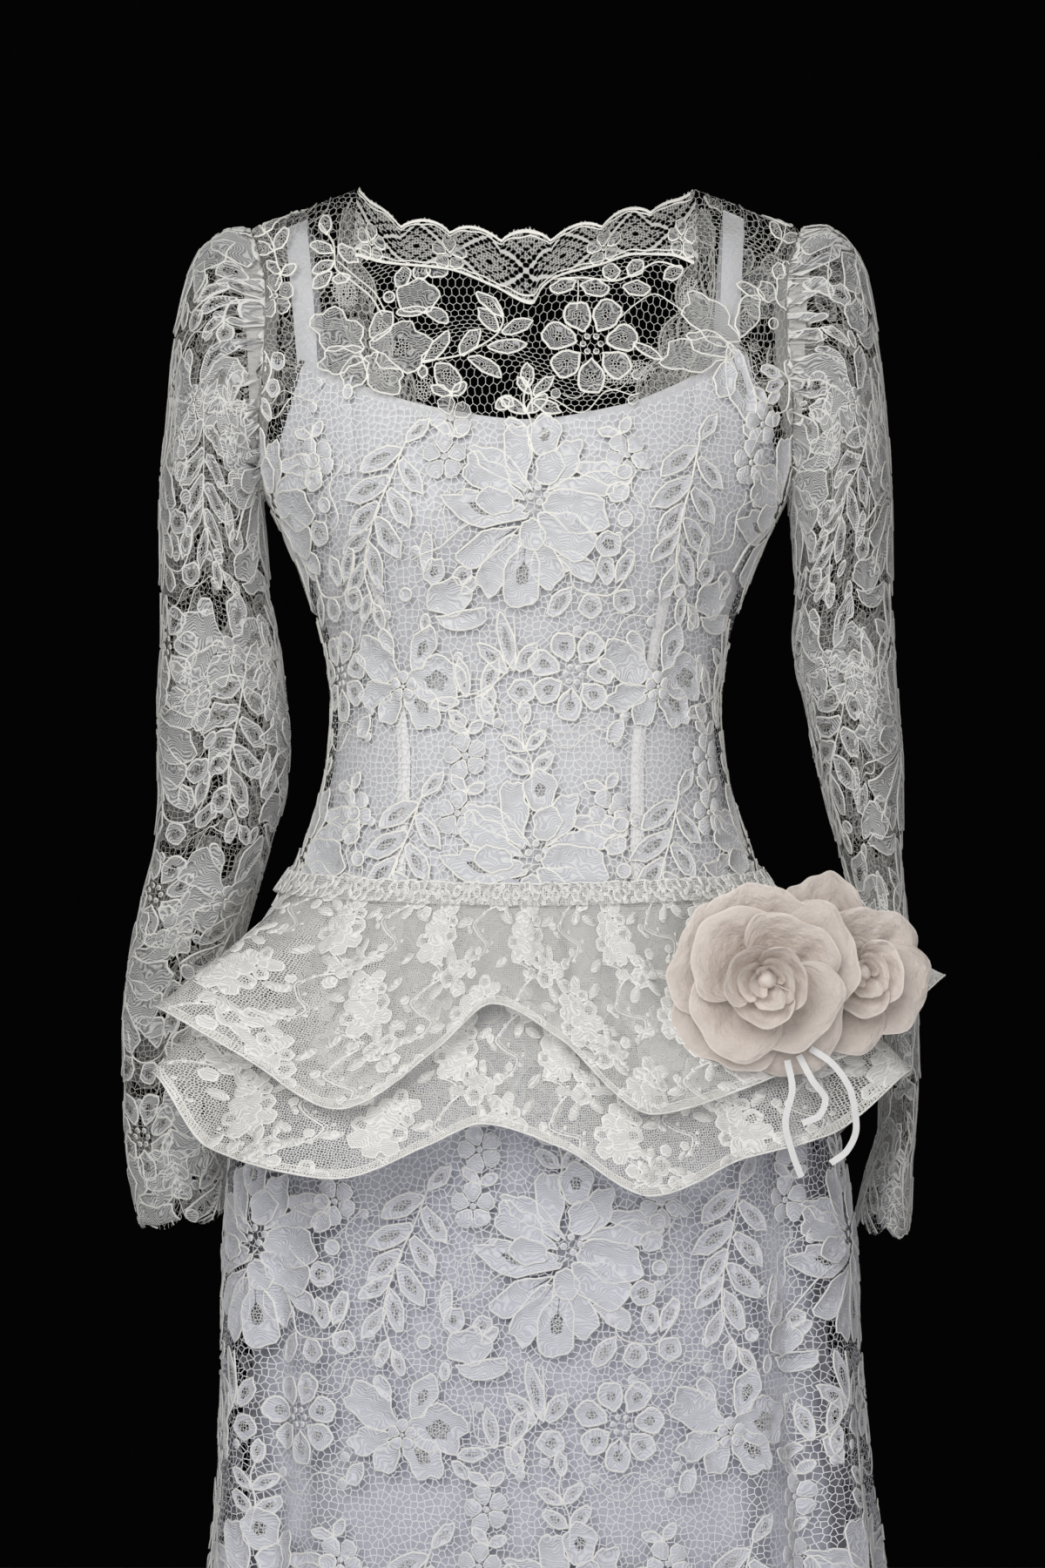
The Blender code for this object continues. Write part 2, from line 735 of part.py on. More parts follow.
def sleeve_surface(side, rings):
    """A sleeve as a surface, u round it from the front and v up it from the cuff."""
    rows = table(
        "row west_x west_z east_x east_z y depth",
        *[(index, *ring) for index, ring in enumerate(rings)],
    )
    last = len(rings) - 1

    def point(u, v):
        turn = u * 2 * math.pi
        place = last - v * (last + 1)
        if place <= -1 + 1e-6:
            return armhole_ring(side, turn, WALL + 3 * SEAM_GAP)
        row = max(place, 0.0)
        west = Vector((read(rows, "west_x", row), 0, read(rows, "west_z", row)))
        east = Vector((read(rows, "east_x", row), 0, read(rows, "east_z", row)))
        creased = sum(
            depth * math.cos(count * turn + start + row * 0.22)
            for count, start, depth in SLEEVE_CREASES
        )
        creased *= min(1.0, row / 4) * 0.8
        half = (east - west) / 2
        reach = 1 + creased / 45
        at = (west + east) / 2 + half * math.sin(turn) * reach
        at.y = read(rows, "y", row) - read(rows, "depth", row) * math.cos(turn) * reach
        if place < 0:  # between the first ring and the armhole's edge
            at = at.lerp(armhole_ring(side, turn, WALL + 3 * SEAM_GAP), -place)
        hem = max(0.0, 1 - v * (last + 1) / 1.5)
        scallop = SCALLOP_DEPTH * (1 - abs(math.sin(turn * CUFF_SCALLOPS / 2)) ** 0.7)
        at.z += scallop * hem
        return at

    return point


def build_sleeves():
    places = [row / 20 for row in SLEEVE_ROWS]
    for side, word, rings in ((-1, "right", SLEEVE_RIGHT), (1, "left", SLEEVE_LEFT)):
        surface = sleeve_surface(side, rings)
        cloth(f"sleeve_{word}", LACE, surface, SLEEVE_COLUMNS, places, closed=True)
        inner = raised(part_of(surface, bottom=0.962, top=0.997), -WALL - 2 * SEAM_GAP)
        cloth(f"armhole_binding_{word}", SATIN, inner, SLEEVE_COLUMNS, 1, closed=True)


# ---------------------------------------------------------------- peplum

# The hem of each tier, all the way round: angle from the front, distance from the middle, level
UPPER_HEM = around(
    "angle reach z",
    (-160, 168, -536),
    (-135, 172, -516),
    (-112, 180, -540),
    (-94, 189, -532),
    (-80, 208, -512),
    (-68, 244, -500),
    (-52, 206, -533),
    (-36, 190, -557),
    (-21, 156, -524),
    (-8, 142, -495),
    (8, 147, -516),
    (26, 172, -560),
    (40, 175, -553),
    (52, 187, -541),
    (63, 224, -526),
    (76, 266, -482),
    (88, 214, -505),
    (104, 194, -536),
    (125, 180, -518),
    (150, 172, -540),
    (176, 172, -522),
)
LOWER_HEM = around(
    "angle reach z",
    (-163, 172, -592),
    (-140, 176, -574),
    (-118, 180, -606),
    (-97, 186, -600),
    (-84, 204, -560),
    (-72, 240, -541),
    (-60, 224, -582),
    (-48, 214, -592),
    (-36, 194, -598),
    (-22, 164, -580),
    (-10, 152, -566),
    (8, 158, -580),
    (25, 176, -608),
    (44, 182, -590),
    (60, 212, -576),
    (74, 246, -540),
    (88, 212, -566),
    (104, 198, -592),
    (125, 184, -574),
    (150, 176, -598),
    (175, 176, -578),
)
UPPER_STANDS, LOWER_STANDS = (3.0, 12.0), (1.0, 5.0)  # off the skirt, at the seam and at the hem
GATHERS = 36  # small gathers that run down from the seam and fade out
GATHER_DEPTH = 1.6


def skirt_reach(angle, z):
    """Distance from the middle to the outside of the lace skirt, the way an angle points."""
    s, c = math.sin(angle), math.cos(angle)
    wide = read(BODY, "half_width", z) + math.copysign(read(BODY, "centre", z), s)
    deep = read(BODY, "front" if c > 0 else "back", z)
    round_it = (abs(s / wide) ** SQUARE + abs(c / deep) ** SQUARE) ** (-1 / SQUARE)
    return round_it + WALL + fold_height(math.atan2(s * deep, c * wide), z)


def outwards(angle, reach, z):
    """The point at a distance from the middle, the way an angle points; the two halves lie apart."""
    x, y = reach * math.sin(angle), -reach * math.cos(angle)
    return Vector((x, y + math.copysign(SEAM_GAP, y), z))


def wrapped(degrees):
    return (degrees + 180) % 360 - 180


def tier_reach(hem, standing_out, clearance, degrees, fall):
    """Distance of a tier from the middle, from its seam (fall 0) to its hem (fall 1)."""
    angle = math.radians(degrees)
    seam_z, hem_z = peplum_seam_z(angle), read(hem, "z", wrapped(degrees))
    first = skirt_reach(angle, seam_z) + standing_out
    last = max(read(hem, "reach", wrapped(degrees)), skirt_reach(angle, hem_z) + clearance)
    free = first + (last - first) * fall**1.1
    close = skirt_reach(angle, seam_z + (hem_z - seam_z) * fall)
    close += standing_out + (clearance - standing_out) * fall
    gathers = math.sin(math.pi * fall) * (1 - fall) * math.cos(GATHERS * angle)
    return max(free, close) + GATHER_DEPTH * gathers


def tier_surface(hem, stands, start, end):
    """One tier between two angles in degrees, u round and v up, from its hem to the seam."""

    def point(u, v):
        degrees = start + (end - start) * u
        angle = math.radians(degrees)
        seam_z, hem_z = peplum_seam_z(angle), read(hem, "z", wrapped(degrees))
        z = seam_z + (hem_z - seam_z) * (1 - v)
        return outwards(angle, tier_reach(hem, *stands, degrees, 1 - v), z)

    return point


def build_peplum():
    halves = (("front", -89.999, 89.999, 34), ("back", 90.001, 269.999, 22))
    for tier, hem, stands, braid in (
        ("upper", UPPER_HEM, UPPER_STANDS, PEPLUM_EDGE_WIDTH / 125),
        ("lower", LOWER_HEM, LOWER_STANDS, PEPLUM_EDGE_WIDTH / 165),
    ):
        for half, start, end, columns in halves:
            surface = tier_surface(hem, stands, start, end)
            places = (0, braid, 0.33, 0.66, 1)
            cloth(f"peplum_{tier}_{half}", PEPLUM_LACE, surface, columns, places)
            # A sheer stiffened braid that covers the last of the tier, on the outside.
            edge = raised(part_of(surface, top=braid), WALL + SEAM_GAP)
            cloth(f"peplum_{tier}_edge_{half}", ORGANZA, edge, columns, 1)
    for half, start, end, columns in halves:
        surface = heading_surface(start, end)
        cloth(f"peplum_heading_{half}", PEPLUM_LACE, surface, HEADING_GATHERS, 2)


def heading_surface(start, end):
    """Ruched band over the top of both tiers: small upright gathers, with a frilled upper edge."""

    def point(u, v):
        angle = math.radians(start + (end - start) * u)
        ripple = math.cos(HEADING_GATHERS * angle)
        z = peplum_seam_z(angle) - HEADING_BELOW + v * (HEADING_BELOW + HEADING_ABOVE)
        z += 1.2 * ripple * max(0.0, v - 0.5) * 2
        reach = skirt_reach(angle, z) + 10 - 7.6 * v**0.9
        if v < 0.4:
            hem_z = read(UPPER_HEM, "z", wrapped(start + (end - start) * u))
            fall = (peplum_seam_z(angle) - z) / (peplum_seam_z(angle) - hem_z)
            under = tier_reach(UPPER_HEM, *UPPER_STANDS, math.degrees(angle), fall)
            reach = max(reach, under + WALL + LAP_GAP + 3.6)
        return outwards(angle, reach + 0.9 * ripple, z)

    return point


# ---------------------------------------------------------------- roses and ribbons


def rose_frame(centre, facing):
    """Where a point of a rose lies, from its place across, up and out along the way it faces."""
    out = Vector(facing).normalized()
    across = Vector((0, 0, 1)).cross(out).normalized()
    up = out.cross(across)
    start = Vector(centre)
    return lambda a, b, w: start + across * a + up * b + out * w


def petal(place, turn, span, inner, outer, base, ramp, cup, curl):
    """One cupped petal; its two sides lie at different heights, so that neighbours overlap clear."""

    def point(u, v):
        angle = turn + (0.5 - u) * span
        side = 2 * u - 1
        edge = outer * (1 - 0.16 * abs(side) ** 2.6 + 0.03 * math.sin(5 * side + turn))
        r = inner + (edge - inner) * v
        w = base + ramp * (0.5 - u) + cup * v**1.5 - curl * v**5
        w += 1.2 * math.sin(3.1 * side + 2 * turn) * v**3
        return place(r * math.cos(angle), r * math.sin(angle), w)

    return point


def rose_core(name, place, radius, length):
    """The wired stub that the petals are sewn to, ending in the closed bud."""
    mesh = bmesh.new()
    profile = ((0, 1.0), (0.8, 1.0), (0.92, 0.85), (1, 0.4))
    rings = []
    for along, share in profile:
        ring = [
            mesh.verts.new(
                metres(
                    place(
                        radius * share * math.cos(turn),
                        radius * share * math.sin(turn),
                        length * along,
                    )
                )
            )
            for turn in np.linspace(0, 2 * math.pi, 13)[:-1]
        ]
        rings.append(ring)
    for low, high in zip(rings, rings[1:]):
        for i in range(12):
            mesh.faces.new((low[i], low[(i + 1) % 12], high[(i + 1) % 12], high[i]))
    mesh.faces.new(rings[0])
    mesh.faces.new(rings[-1])
    bmesh.ops.recalc_face_normals(mesh, faces=mesh.faces)
    finish(name, mesh, ORGANZA, 0)


ROSES = (
    # name, centre of its base on the peplum, facing, core radius, core length, rings of petals:
    # (count, span in degrees, outer radius, base, ramp, cup, curl, first turn)
    (
        "rose_large",
        (141, -94.0, -480),
        (0.05, -0.998, 0.0),
        5.0,
        53,
        (
            (5, 104, 56, 27, 5.5, 11, 7, 18),
            (4, 118, 40, 35, 5.5, 14, 4, 50),
            (3, 146, 23, 43, 5.5, 10, 1, 10),
        ),
    ),
    (
        "rose_small",
        (197, -81.4, -480),
        (0.25, -0.96, 0.10),
        4.4,
        32,
        (
            (1, 62, 63, 12, 2, 5, 2, 112),
            (4, 118, 42, 16, 5, 9, 5, 65),
            (3, 140, 26, 23, 5, 9, 2, 5),
        ),
    ),
)


def build_roses():
    for name, centre, facing, core, length, rings in ROSES:
        place = rose_frame(centre, facing)
        rose_core(f"{name}_core", place, core, length)
        for ring, (count, span, outer, base, ramp, cup, curl, first) in enumerate(rings, 1):
            for index in range(count):
                turn = math.radians(first + 360 * index / count)
                surface = petal(
                    place, turn, math.radians(span), core + 0.8, outer, base, ramp, cup, curl
                )
                cells = 3 if ring == 3 else 4
                cloth(f"{name}_petal_{ring}_{index + 1}", ORGANZA, surface, cells, cells)


RIBBONS = (
    # free ribbon ends, as places down the middle of each
    ((157, -124.6, -529), (160, -125.5, -546), (156, -124, -566), (160, -121, -584), (166, -118, -600)),
    ((164, -124.4, -526), (172, -126, -541), (180, -124, -553), (176, -123, -563), (166, -124.5, -567)),
    (
        (171, -124.4, -522),
        (184, -126, -531),
        (196, -124, -550),
        (199, -119, -570),
        (194, -115, -584),
        (184, -114, -592),
    ),
)


def build_ribbons():
    for index, places in enumerate(RIBBONS, 1):
        route = smooth_route(places)
        step = 0.01

        def point(u, v, route=route):
            along = route(min(v + step, 1)) - route(max(v - step, 0))
            across = along.cross(Vector((0, 1, 0))).normalized()
            return route(v) - across * (u - 0.5) * RIBBON_WIDTH

        cloth(f"ribbon_{index}", RIBBON, point, 1, 14)


def main():
    for old in list(bpy.data.objects):
        bpy.data.objects.remove(old)
    build_underdress()
    build_lace_bodice()
    build_neck_bands()
    build_placket()
    build_lace_skirt()
    build_sleeves()
    build_peplum()
    build_roses()
    build_ribbons()


main()
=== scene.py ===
"""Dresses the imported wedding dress: satin underdress, corded lace, net sleeves, peplum, roses, ribbons.

Metres, +Z up, front to -Y, +X to the wearer's left. Cloth is worked flat in millimetres, with its
height off the cloth as z, and is then draped on its surface, so the flat place becomes its UV map.
"""

import math

import bmesh
import bpy
import numpy as np
from mathutils import Matrix, Vector


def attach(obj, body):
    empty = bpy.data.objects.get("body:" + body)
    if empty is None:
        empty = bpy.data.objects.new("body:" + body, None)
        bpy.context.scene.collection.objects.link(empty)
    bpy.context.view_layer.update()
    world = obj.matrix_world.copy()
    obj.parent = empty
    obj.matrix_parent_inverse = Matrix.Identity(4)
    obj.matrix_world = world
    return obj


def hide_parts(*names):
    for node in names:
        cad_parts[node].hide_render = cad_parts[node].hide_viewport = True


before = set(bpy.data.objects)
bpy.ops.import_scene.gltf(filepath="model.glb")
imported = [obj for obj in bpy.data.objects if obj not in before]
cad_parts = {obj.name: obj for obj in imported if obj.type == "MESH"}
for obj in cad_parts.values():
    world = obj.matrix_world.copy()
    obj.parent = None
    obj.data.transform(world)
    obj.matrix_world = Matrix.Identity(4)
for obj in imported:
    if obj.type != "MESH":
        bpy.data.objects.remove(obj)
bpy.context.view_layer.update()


# ---------------------------------------------------------------------------------------------
# Bodice lining. Five panels of polyester satin, cut to a dropped waist and seamed at the princess
# lines and the side back. The scooped front edge is turned in, and the back is cut level and low.


def table(columns, *rows):
    """Rows with named columns, sorted by the first one, with a smooth slope at each row."""
    names = columns.split()
    values = np.array(sorted(rows), float)
    keys = values[:, 0]
    slopes = {}
    for index, name in enumerate(names[1:], 1):
        steps = np.diff(values[:, index]) / np.diff(keys)
        before, after = steps[:-1], steps[1:]
        total = np.where(before * after > 0, before + after, 1)
        inner = np.where(before * after > 0, 2 * before * after / total, 0)
        slopes[name] = np.concatenate([[steps[0]], inner, [steps[-1]]])
    return {"keys": keys, "slopes": slopes} | {n: values[:, i] for i, n in enumerate(names)}


def read(rows, column, at):
    """A column's values at places along the first column, on a curve with no overshoot."""
    keys = rows["keys"]
    at = np.clip(at, keys[0], keys[-1])
    low = np.clip(np.searchsorted(keys, at, side="right") - 1, 0, len(keys) - 2)
    step = keys[low + 1] - keys[low]
    t = (at - keys[low]) / step
    start, end = rows[column][low], rows[column][low + 1]
    rise_start, rise_end = rows["slopes"][column][low] * step, rows["slopes"][column][low + 1] * step
    return (
        (2 * t**3 - 3 * t**2 + 1) * start
        + (t**3 - 2 * t**2 + t) * rise_start
        + (3 * t**2 - 2 * t**3) * end
        + (t**3 - t**2) * rise_end
    )


# The dress's sections, in mm: half width, depth before and behind the shoulder line, and centre
BODY = table(
    "z half_width front back centre",
    (12, 108, 6, 6, 0),
    (5, 126, 20, 18, 0),
    (-4, 147, 33, 30, 0),
    (-14, 172, 46, 42, 0),
    (-35, 181, 62, 57, 0),
    (-70, 183, 78, 73, 0),
    (-110, 180, 90, 84, 0),
    (-145, 174, 97, 91, 0),
    (-179, 164, 101, 95, 0),
    (-200, 154, 102, 95, 0),
    (-222, 144, 100, 92, 0),
    (-244, 136, 97, 88, 0),
    (-266, 129, 93, 84, 0),
    (-290, 124, 89, 80, 0),
    (-318, 122, 87, 78, 0),
    (-345, 124, 88, 81, 0),
    (-374, 130, 91, 88, 0),
    (-400, 139, 96, 96, 0),
    (-431, 151, 101, 106, 0),
    (-473, 164, 106, 117, 1),
    (-528, 179, 110, 125, 4),
    (-583, 191, 113, 128, 6),
    (-660, 199, 117, 131, 8),
    (-748, 201, 122, 137, 9),
    (-836, 207, 131, 148, 11),
    (-950, 223, 146, 165, 12),
    (-1080, 246, 165, 187, 12),
    (-1220, 276, 187, 214, 12),
    (-1416, 318, 216, 252, 12),
)
SQUARE = 2.2  # squareness of the sections; 2 is an ellipse
QUARTER = math.pi / 2
CUP_X, CUP_Z, CUP_HEIGHT, CUP_SPREAD = 74.0, -196.0, 15.0, 38.0
FOLDS = (
    # soft upright folds of the skirt: angle, height at the hem, half width in degrees, start
    (-64, 20, 9, -560),
    (-31, 15, 10, -900),
    (29, 16, 9, -860),
    (63, 24, 8, -560),
    (88, 18, 9, -700),
    (112, 22, 9, -620),
    (140, 20, 10, -560),
    (171, 24, 10, -560),
    (203, 20, 9, -600),
    (230, 23, 10, -580),
    (258, 18, 9, -660),
    # narrower creases, as hollows, where the skirt falls in from the hips
    (-51, -14, 3.6, -440),
    (49, -17, 4.2, -440),
    (38, 9, 4.0, -520),
    (-39, 8, 3.4, -540),
    (-14, -8, 3.4, -600),
    (16, -6, 3.0, -660),
    (102, -13, 4.0, -470),
    (126, -9, 3.2, -520),
    (157, -12, 3.8, -500),
    (188, -8, 3.4, -560),
    (216, -12, 4.0, -480),
    (246, -10, 3.4, -520),
    (272, -12, 3.8, -470),
)
PEPLUM_SEAM_Z, PEPLUM_SEAM_DIP = -424.0, 7.0  # the seam lies lower in front and higher behind
LACE_HEM_Z, LINING_HEM_Z = -1416.0, -1402.0


def fold_height(angle, z):
    """How far the skirt's folds stand out at an angle and a level."""
    total = np.zeros(np.shape(angle))
    for where, height, half_width, start in FOLDS:
        grown = np.clip((start - z) / (start - LACE_HEM_Z), 0, None) ** 0.8
        away = (np.degrees(angle) - where + 180) % 360 - 180
        total += height * grown * np.exp(-((away / half_width) ** 2))
    return total


def section(angle, z, inside=(0.0, 0.0)):
    """Points of the dress at angles from the front and levels; inside narrows width and depth."""
    s, c = np.sin(angle), np.cos(angle)
    wide = read(BODY, "half_width", z) - inside[0]
    deep = np.where(c > 0, read(BODY, "front", z), read(BODY, "back", z)) - inside[1]
    folds = fold_height(angle, z)
    x = read(BODY, "centre", z) + wide * np.sign(s) * np.abs(s) ** (2 / SQUARE) + folds * s
    y = -np.sign(c) * (deep * np.abs(c) ** (2 / SQUARE) + 0.15) - folds * c
    for side in (-1, 1):
        far = (x - side * CUP_X) ** 2 + (z - CUP_Z) ** 2
        y = y - np.where(c > 0, CUP_HEIGHT * np.exp(-far / (2 * CUP_SPREAD**2)), 0)
    return np.stack([x, y, z + 0 * x], axis=-1)


def angle_at_x(x, z, behind=False):
    """The angles in the front or back half at which the sections reach x."""
    share = np.clip((x - read(BODY, "centre", z)) / read(BODY, "half_width", z), -1, 1)
    angle = np.arcsin(np.sign(share) * np.abs(share) ** (SQUARE / 2))
    return math.pi - angle if behind else angle


def peplum_seam_z(angle):
    return PEPLUM_SEAM_Z - PEPLUM_SEAM_DIP * np.cos(angle)


def as_data(mesh, name):
    """The work of a bmesh as mesh data."""
    data = bpy.data.meshes.new(name)
    mesh.to_mesh(data)
    mesh.free()
    return data


def spots_of(data):
    """Where a mesh's points are, a row for each."""
    flat = np.empty(len(data.vertices) * 3)
    data.vertices.foreach_get("co", flat)
    return flat.reshape(-1, 3)


def lay_pattern(data, x, y):
    """Gives each point its flat place in mm, which the cloth's finish follows."""
    corner = np.empty(len(data.loops), int)
    data.loops.foreach_get("vertex_index", corner)
    pattern = data.uv_layers.new(name="pattern")
    pattern.data.foreach_set("uv", np.stack([x, y], axis=-1)[corner].ravel())


def finished(name, data, finishes):
    """A piece of the dress with its finishes."""
    data.shade_smooth()
    for finish in finishes:
        data.materials.append(finish)
    piece = bpy.data.objects.new(name, data)
    bpy.context.scene.collection.objects.link(piece)
    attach(piece, "root")
    return piece


def drape(name, mesh, surface, finishes, lift=0.0, flip=False):
    """Hangs flat work, in mm, on a surface: x and y become its place, z its height off the cloth."""
    data = as_data(mesh, name)
    x, y, height = spots_of(data).T
    lay_pattern(data, x, y)
    step = 0.6
    across = surface(x + step, y) - surface(x - step, y)
    up = surface(x, y + step) - surface(x, y - step)
    normal = np.cross(across, up)
    normal /= np.maximum(np.linalg.norm(normal, axis=-1, keepdims=True), 1e-9)
    if flip:
        normal = -normal
    placed = surface(x, y) + normal * (height + lift)[:, None]
    data.vertices.foreach_set("co", (placed / 1000).ravel())
    if flip:
        data.flip_normals()
    return finished(f"{name}_cloth", data, finishes)


def lay_grid(mesh, left, right, low, high, columns, rows):
    """Flat cloth as a grid of squares, in mm."""
    made = bmesh.ops.create_grid(mesh, x_segments=columns, y_segments=rows, size=0.5)
    for vertex in made["verts"]:
        vertex.co.x = left + (vertex.co.x + 0.5) * (right - left)
        vertex.co.y = low + (vertex.co.y + 0.5) * (high - low)
    return made["verts"]


def linear(code):
    """An sRGB hex colour as the linear values that a shader takes."""
    parts = [int(code[i : i + 2], 16) / 255 for i in (0, 2, 4)]
    return [p / 12.92 if p <= 0.04045 else ((p + 0.055) / 1.055) ** 2.4 for p in parts] + [1.0]


def add(tree, kind, inputs=None, **settings):
    """Adds a shader node, with its settings, its values and what is plugged into it."""
    made = tree.nodes.new("ShaderNode" + kind)
    for name, value in settings.items():
        setattr(made, name, value)
    for name, value in (inputs or {}).items():
        if isinstance(value, bpy.types.NodeSocket):
            tree.links.new(value, made.inputs[name])
        else:
            made.inputs[name].default_value = value
    return made


def new_finish(name, roughness, sheen=0.0):
    """A material with its one shader, ready for its colour, relief and openings."""
    made = bpy.data.materials.new(name)
    made.use_nodes = True
    shader = made.node_tree.nodes["Principled BSDF"]
    shader.inputs["Roughness"].default_value = roughness
    shader.inputs["Sheen Weight"].default_value = sheen
    shader.inputs["Sheen Roughness"].default_value = 0.4
    return made, made.node_tree, shader


WAVE = 0.314  # a wave texture of scale WAVE / s has its bands s mm apart


def polyester_satin(name, pale, deep, roughness, thread):
    """Woven satin, pressed smooth: a soft lengthways sheen, faint cross threads and small ripples."""
    made, tree, shader = new_finish(name, roughness, sheen=0.25)
    place = add(tree, "UVMap", uv_map="pattern")
    cloudy = add(tree, "TexNoise", {"Vector": place.outputs[0], "Scale": 1 / 34, "Detail": 3.0})
    tones = {0: cloudy.outputs[0], 6: linear(deep), 7: linear(pale)}
    mixed = add(tree, "Mix", tones, data_type="RGBA")
    tree.links.new(mixed.outputs[2], shader.inputs["Base Color"])
    # Cross threads, 0.25 mm apart in the cloth, are drawn wider so that they show.
    weave = add(
        tree,
        "TexWave",
        {"Vector": place.outputs[0], "Scale": WAVE / thread, "Distortion": 1.5, "Detail Scale": 0.3},
        bands_direction="Y",
    )
    ripple = add(tree, "TexNoise", {"Vector": place.outputs[0], "Scale": 1 / 11, "Detail": 4.0})
    fine = add(tree, "Bump", {"Height": weave.outputs[1], "Strength": 0.12, "Distance": 0.0003})
    soft = add(
        tree,
        "Bump",
        {"Height": ripple.outputs[0], "Strength": 0.35, "Distance": 0.0012, "Normal": fine.outputs[0]},
    )
    tree.links.new(soft.outputs[0], shader.inputs["Normal"])
    return made


SATIN = polyester_satin("polyester_satin", "DFDFE2", "D3D4D9", 0.42, 0.9)
UNDER = 4.2  # the lining's outer face lies this far inside the lace
ROLL = 0.8  # seam edges are pressed in this much
PRINCESS = {
    # x of the princess seam down the front, on each side
    -1: table("z x", (-105, -112), (-176, -106), (-222, -94), (-286, -80), (-352, -71), (-431, -74)),
    1: table("z x", (-105, 108), (-176, 100), (-222, 88), (-286, 74), (-352, 64), (-431, 63)),
}
SCOOP = table(
    "x z",
    (-150, -96), (-137, -102), (-110, -116), (-60, -133), (0, -141), (60, -132), (105, -113), (125, -102),
    (140, -97),
)
LINING_BACK_TOP_Z = -176.0
BACK_SEAM = 142.0  # angle of the side-back seams
PULLS = (
    # soft drag lines of the lining: x, z, turn in degrees, length, half width, height
    (-112, -180, 62, 34, 7, 1.1),
    (-92, -236, 74, 46, 6, -0.9),
    (-104, -300, 82, 52, 7, 0.8),
    (-60, -206, 68, 30, 9, 0.7),
    (52, -212, 112, 40, 8, 0.9),
    (58, -262, 96, 60, 5, -1.2),
    (104, -196, 122, 30, 7, 0.8),
    (96, -300, 98, 50, 8, 0.9),
    (-34, -380, 88, 40, 9, 0.6),
    (22, -372, 92, 46, 8, -0.6),
)


def princess_angle(side):
    return lambda z: angle_at_x(read(PRINCESS[side], "x", z), z)


def upright(degrees):
    return lambda z: math.radians(degrees) + 0 * z


def level(z):
    return lambda angle: z + 0 * angle


def lining_top_z(angle):
    """The lining's top edge: a wide scoop in front, the underarm at the side, level behind."""
    x = section(angle, -110 + 0 * angle)[..., 0]
    side = -97 + (LINING_BACK_TOP_Z + 97) * np.clip((np.abs(x) - 140) / 40, 0, 1) ** 0.7
    front = np.where(np.abs(x) < 140, read(SCOOP, "z", x), side)
    return np.where(np.cos(angle) > 0, front, LINING_BACK_TOP_Z)


def panel(left, right, bottom, top, inside):
    """The surface of a panel between two seams and two edges, u and v from 0 to 1."""

    def point(u, v):
        angle = (left(np.full(u.shape, PEPLUM_SEAM_Z)) + right(np.full(u.shape, PEPLUM_SEAM_Z))) / 2
        for _ in range(6):
            z = bottom(angle) + v * (top(angle) - bottom(angle))
            angle = left(z) + u * (right(z) - left(z))
        placed = section(angle, z, inside(z))
        if abs(angle).max() < 2:
            for x0, z0, turn, length, half, height in PULLS:
                dx, dz = placed[..., 0] - x0, z - z0
                t = math.radians(turn)
                along, off = dx * math.cos(t) + dz * math.sin(t), dz * math.cos(t) - dx * math.sin(t)
                placed[..., 1] -= height * np.exp(-((along / length) ** 2) - (off / half) ** 2)
        return placed

    return point


def patterned(point, width, length):
    """A surface in u and v from 0 to 1, as one in mm of cloth."""
    return lambda x, y: point(np.clip(x / width, 0, 1), np.clip(y / length, 0, 1))


def cut(name, point, width, length, columns, rows, finish, roll):
    """Cuts a rectangle of satin, presses its long edges in and hangs it where its solid is."""
    mesh = bmesh.new()
    for vertex in lay_grid(mesh, 0, width, 0, length, columns, rows):
        edge = min(vertex.co.x, width - vertex.co.x)
        vertex.co.z = -roll * math.exp(-((edge / 2.5) ** 2))
    piece = drape(name, mesh, patterned(point, width, length), [finish], lift=0.5)
    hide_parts(name)


def under(z):
    return (UNDER + 0 * z,) * 2


for name, left, right, width, length, columns in (
    # flat width and length of each panel in mm, as cut
    ("lining_front", princess_angle(-1), princess_angle(1), 192, 300, 60),
    ("lining_side_right", upright(-BACK_SEAM), princess_angle(-1), 236, 268, 60),
    ("lining_side_left", princess_angle(1), upright(BACK_SEAM), 236, 268, 60),
    ("lining_back_right", upright(-180), upright(-BACK_SEAM), 66, 244, 20),
    ("lining_back_left", upright(BACK_SEAM), upright(180), 66, 244, 20),
):
    point = panel(left, right, peplum_seam_z, lining_top_z, under)
    cut(name, point, width, length, columns, 72, SATIN, ROLL)


# ---------------------------------------------------------------------------------------------
# Underskirt. Two flared pieces of the same satin hang from the dropped waist inside the lace skirt,
# a little narrower than it, and follow its folds. Their hem is turned up once.

STAND_OFF = table(
    "z side fore_and_aft",
    (-431, 1.8, 1.8),
    (-520, 8, 3.5),
    (-600, 16, 5),
    (-836, 18, 7),
    (-1100, 22, 12),
    (-1416, 28, 18),
)


def skirt_under(z):
    return (UNDER + read(STAND_OFF, "side", z) - 1.8, UNDER + read(STAND_OFF, "fore_and_aft", z) - 1.8)


def skirt_top(angle):
    return peplum_seam_z(angle) - 0.3


# The underskirt is a darker, bluer copy of the bodice's satin: painted shade.
SKIRT_SATIN = polyester_satin("skirt_satin_painted_shade", "D2D2DB", "C1C2CE", 0.42, 0.9)
for name, left, width in (("underskirt_front", -89.999, 640), ("underskirt_back", 90.001, 660)):
    half = panel(upright(left), upright(left + 179.998), level(LINING_HEM_Z), skirt_top, skirt_under)
    cut(name, half, width, 985, 100, 66, SKIRT_SATIN, ROLL)


# ---------------------------------------------------------------------------------------------
# Shoulder straps. Flat double satin straps, 13 mm wide, run from the corners of the scoop under the
# lace's shoulders to the back edge, sewn at both ends with their edges pressed.

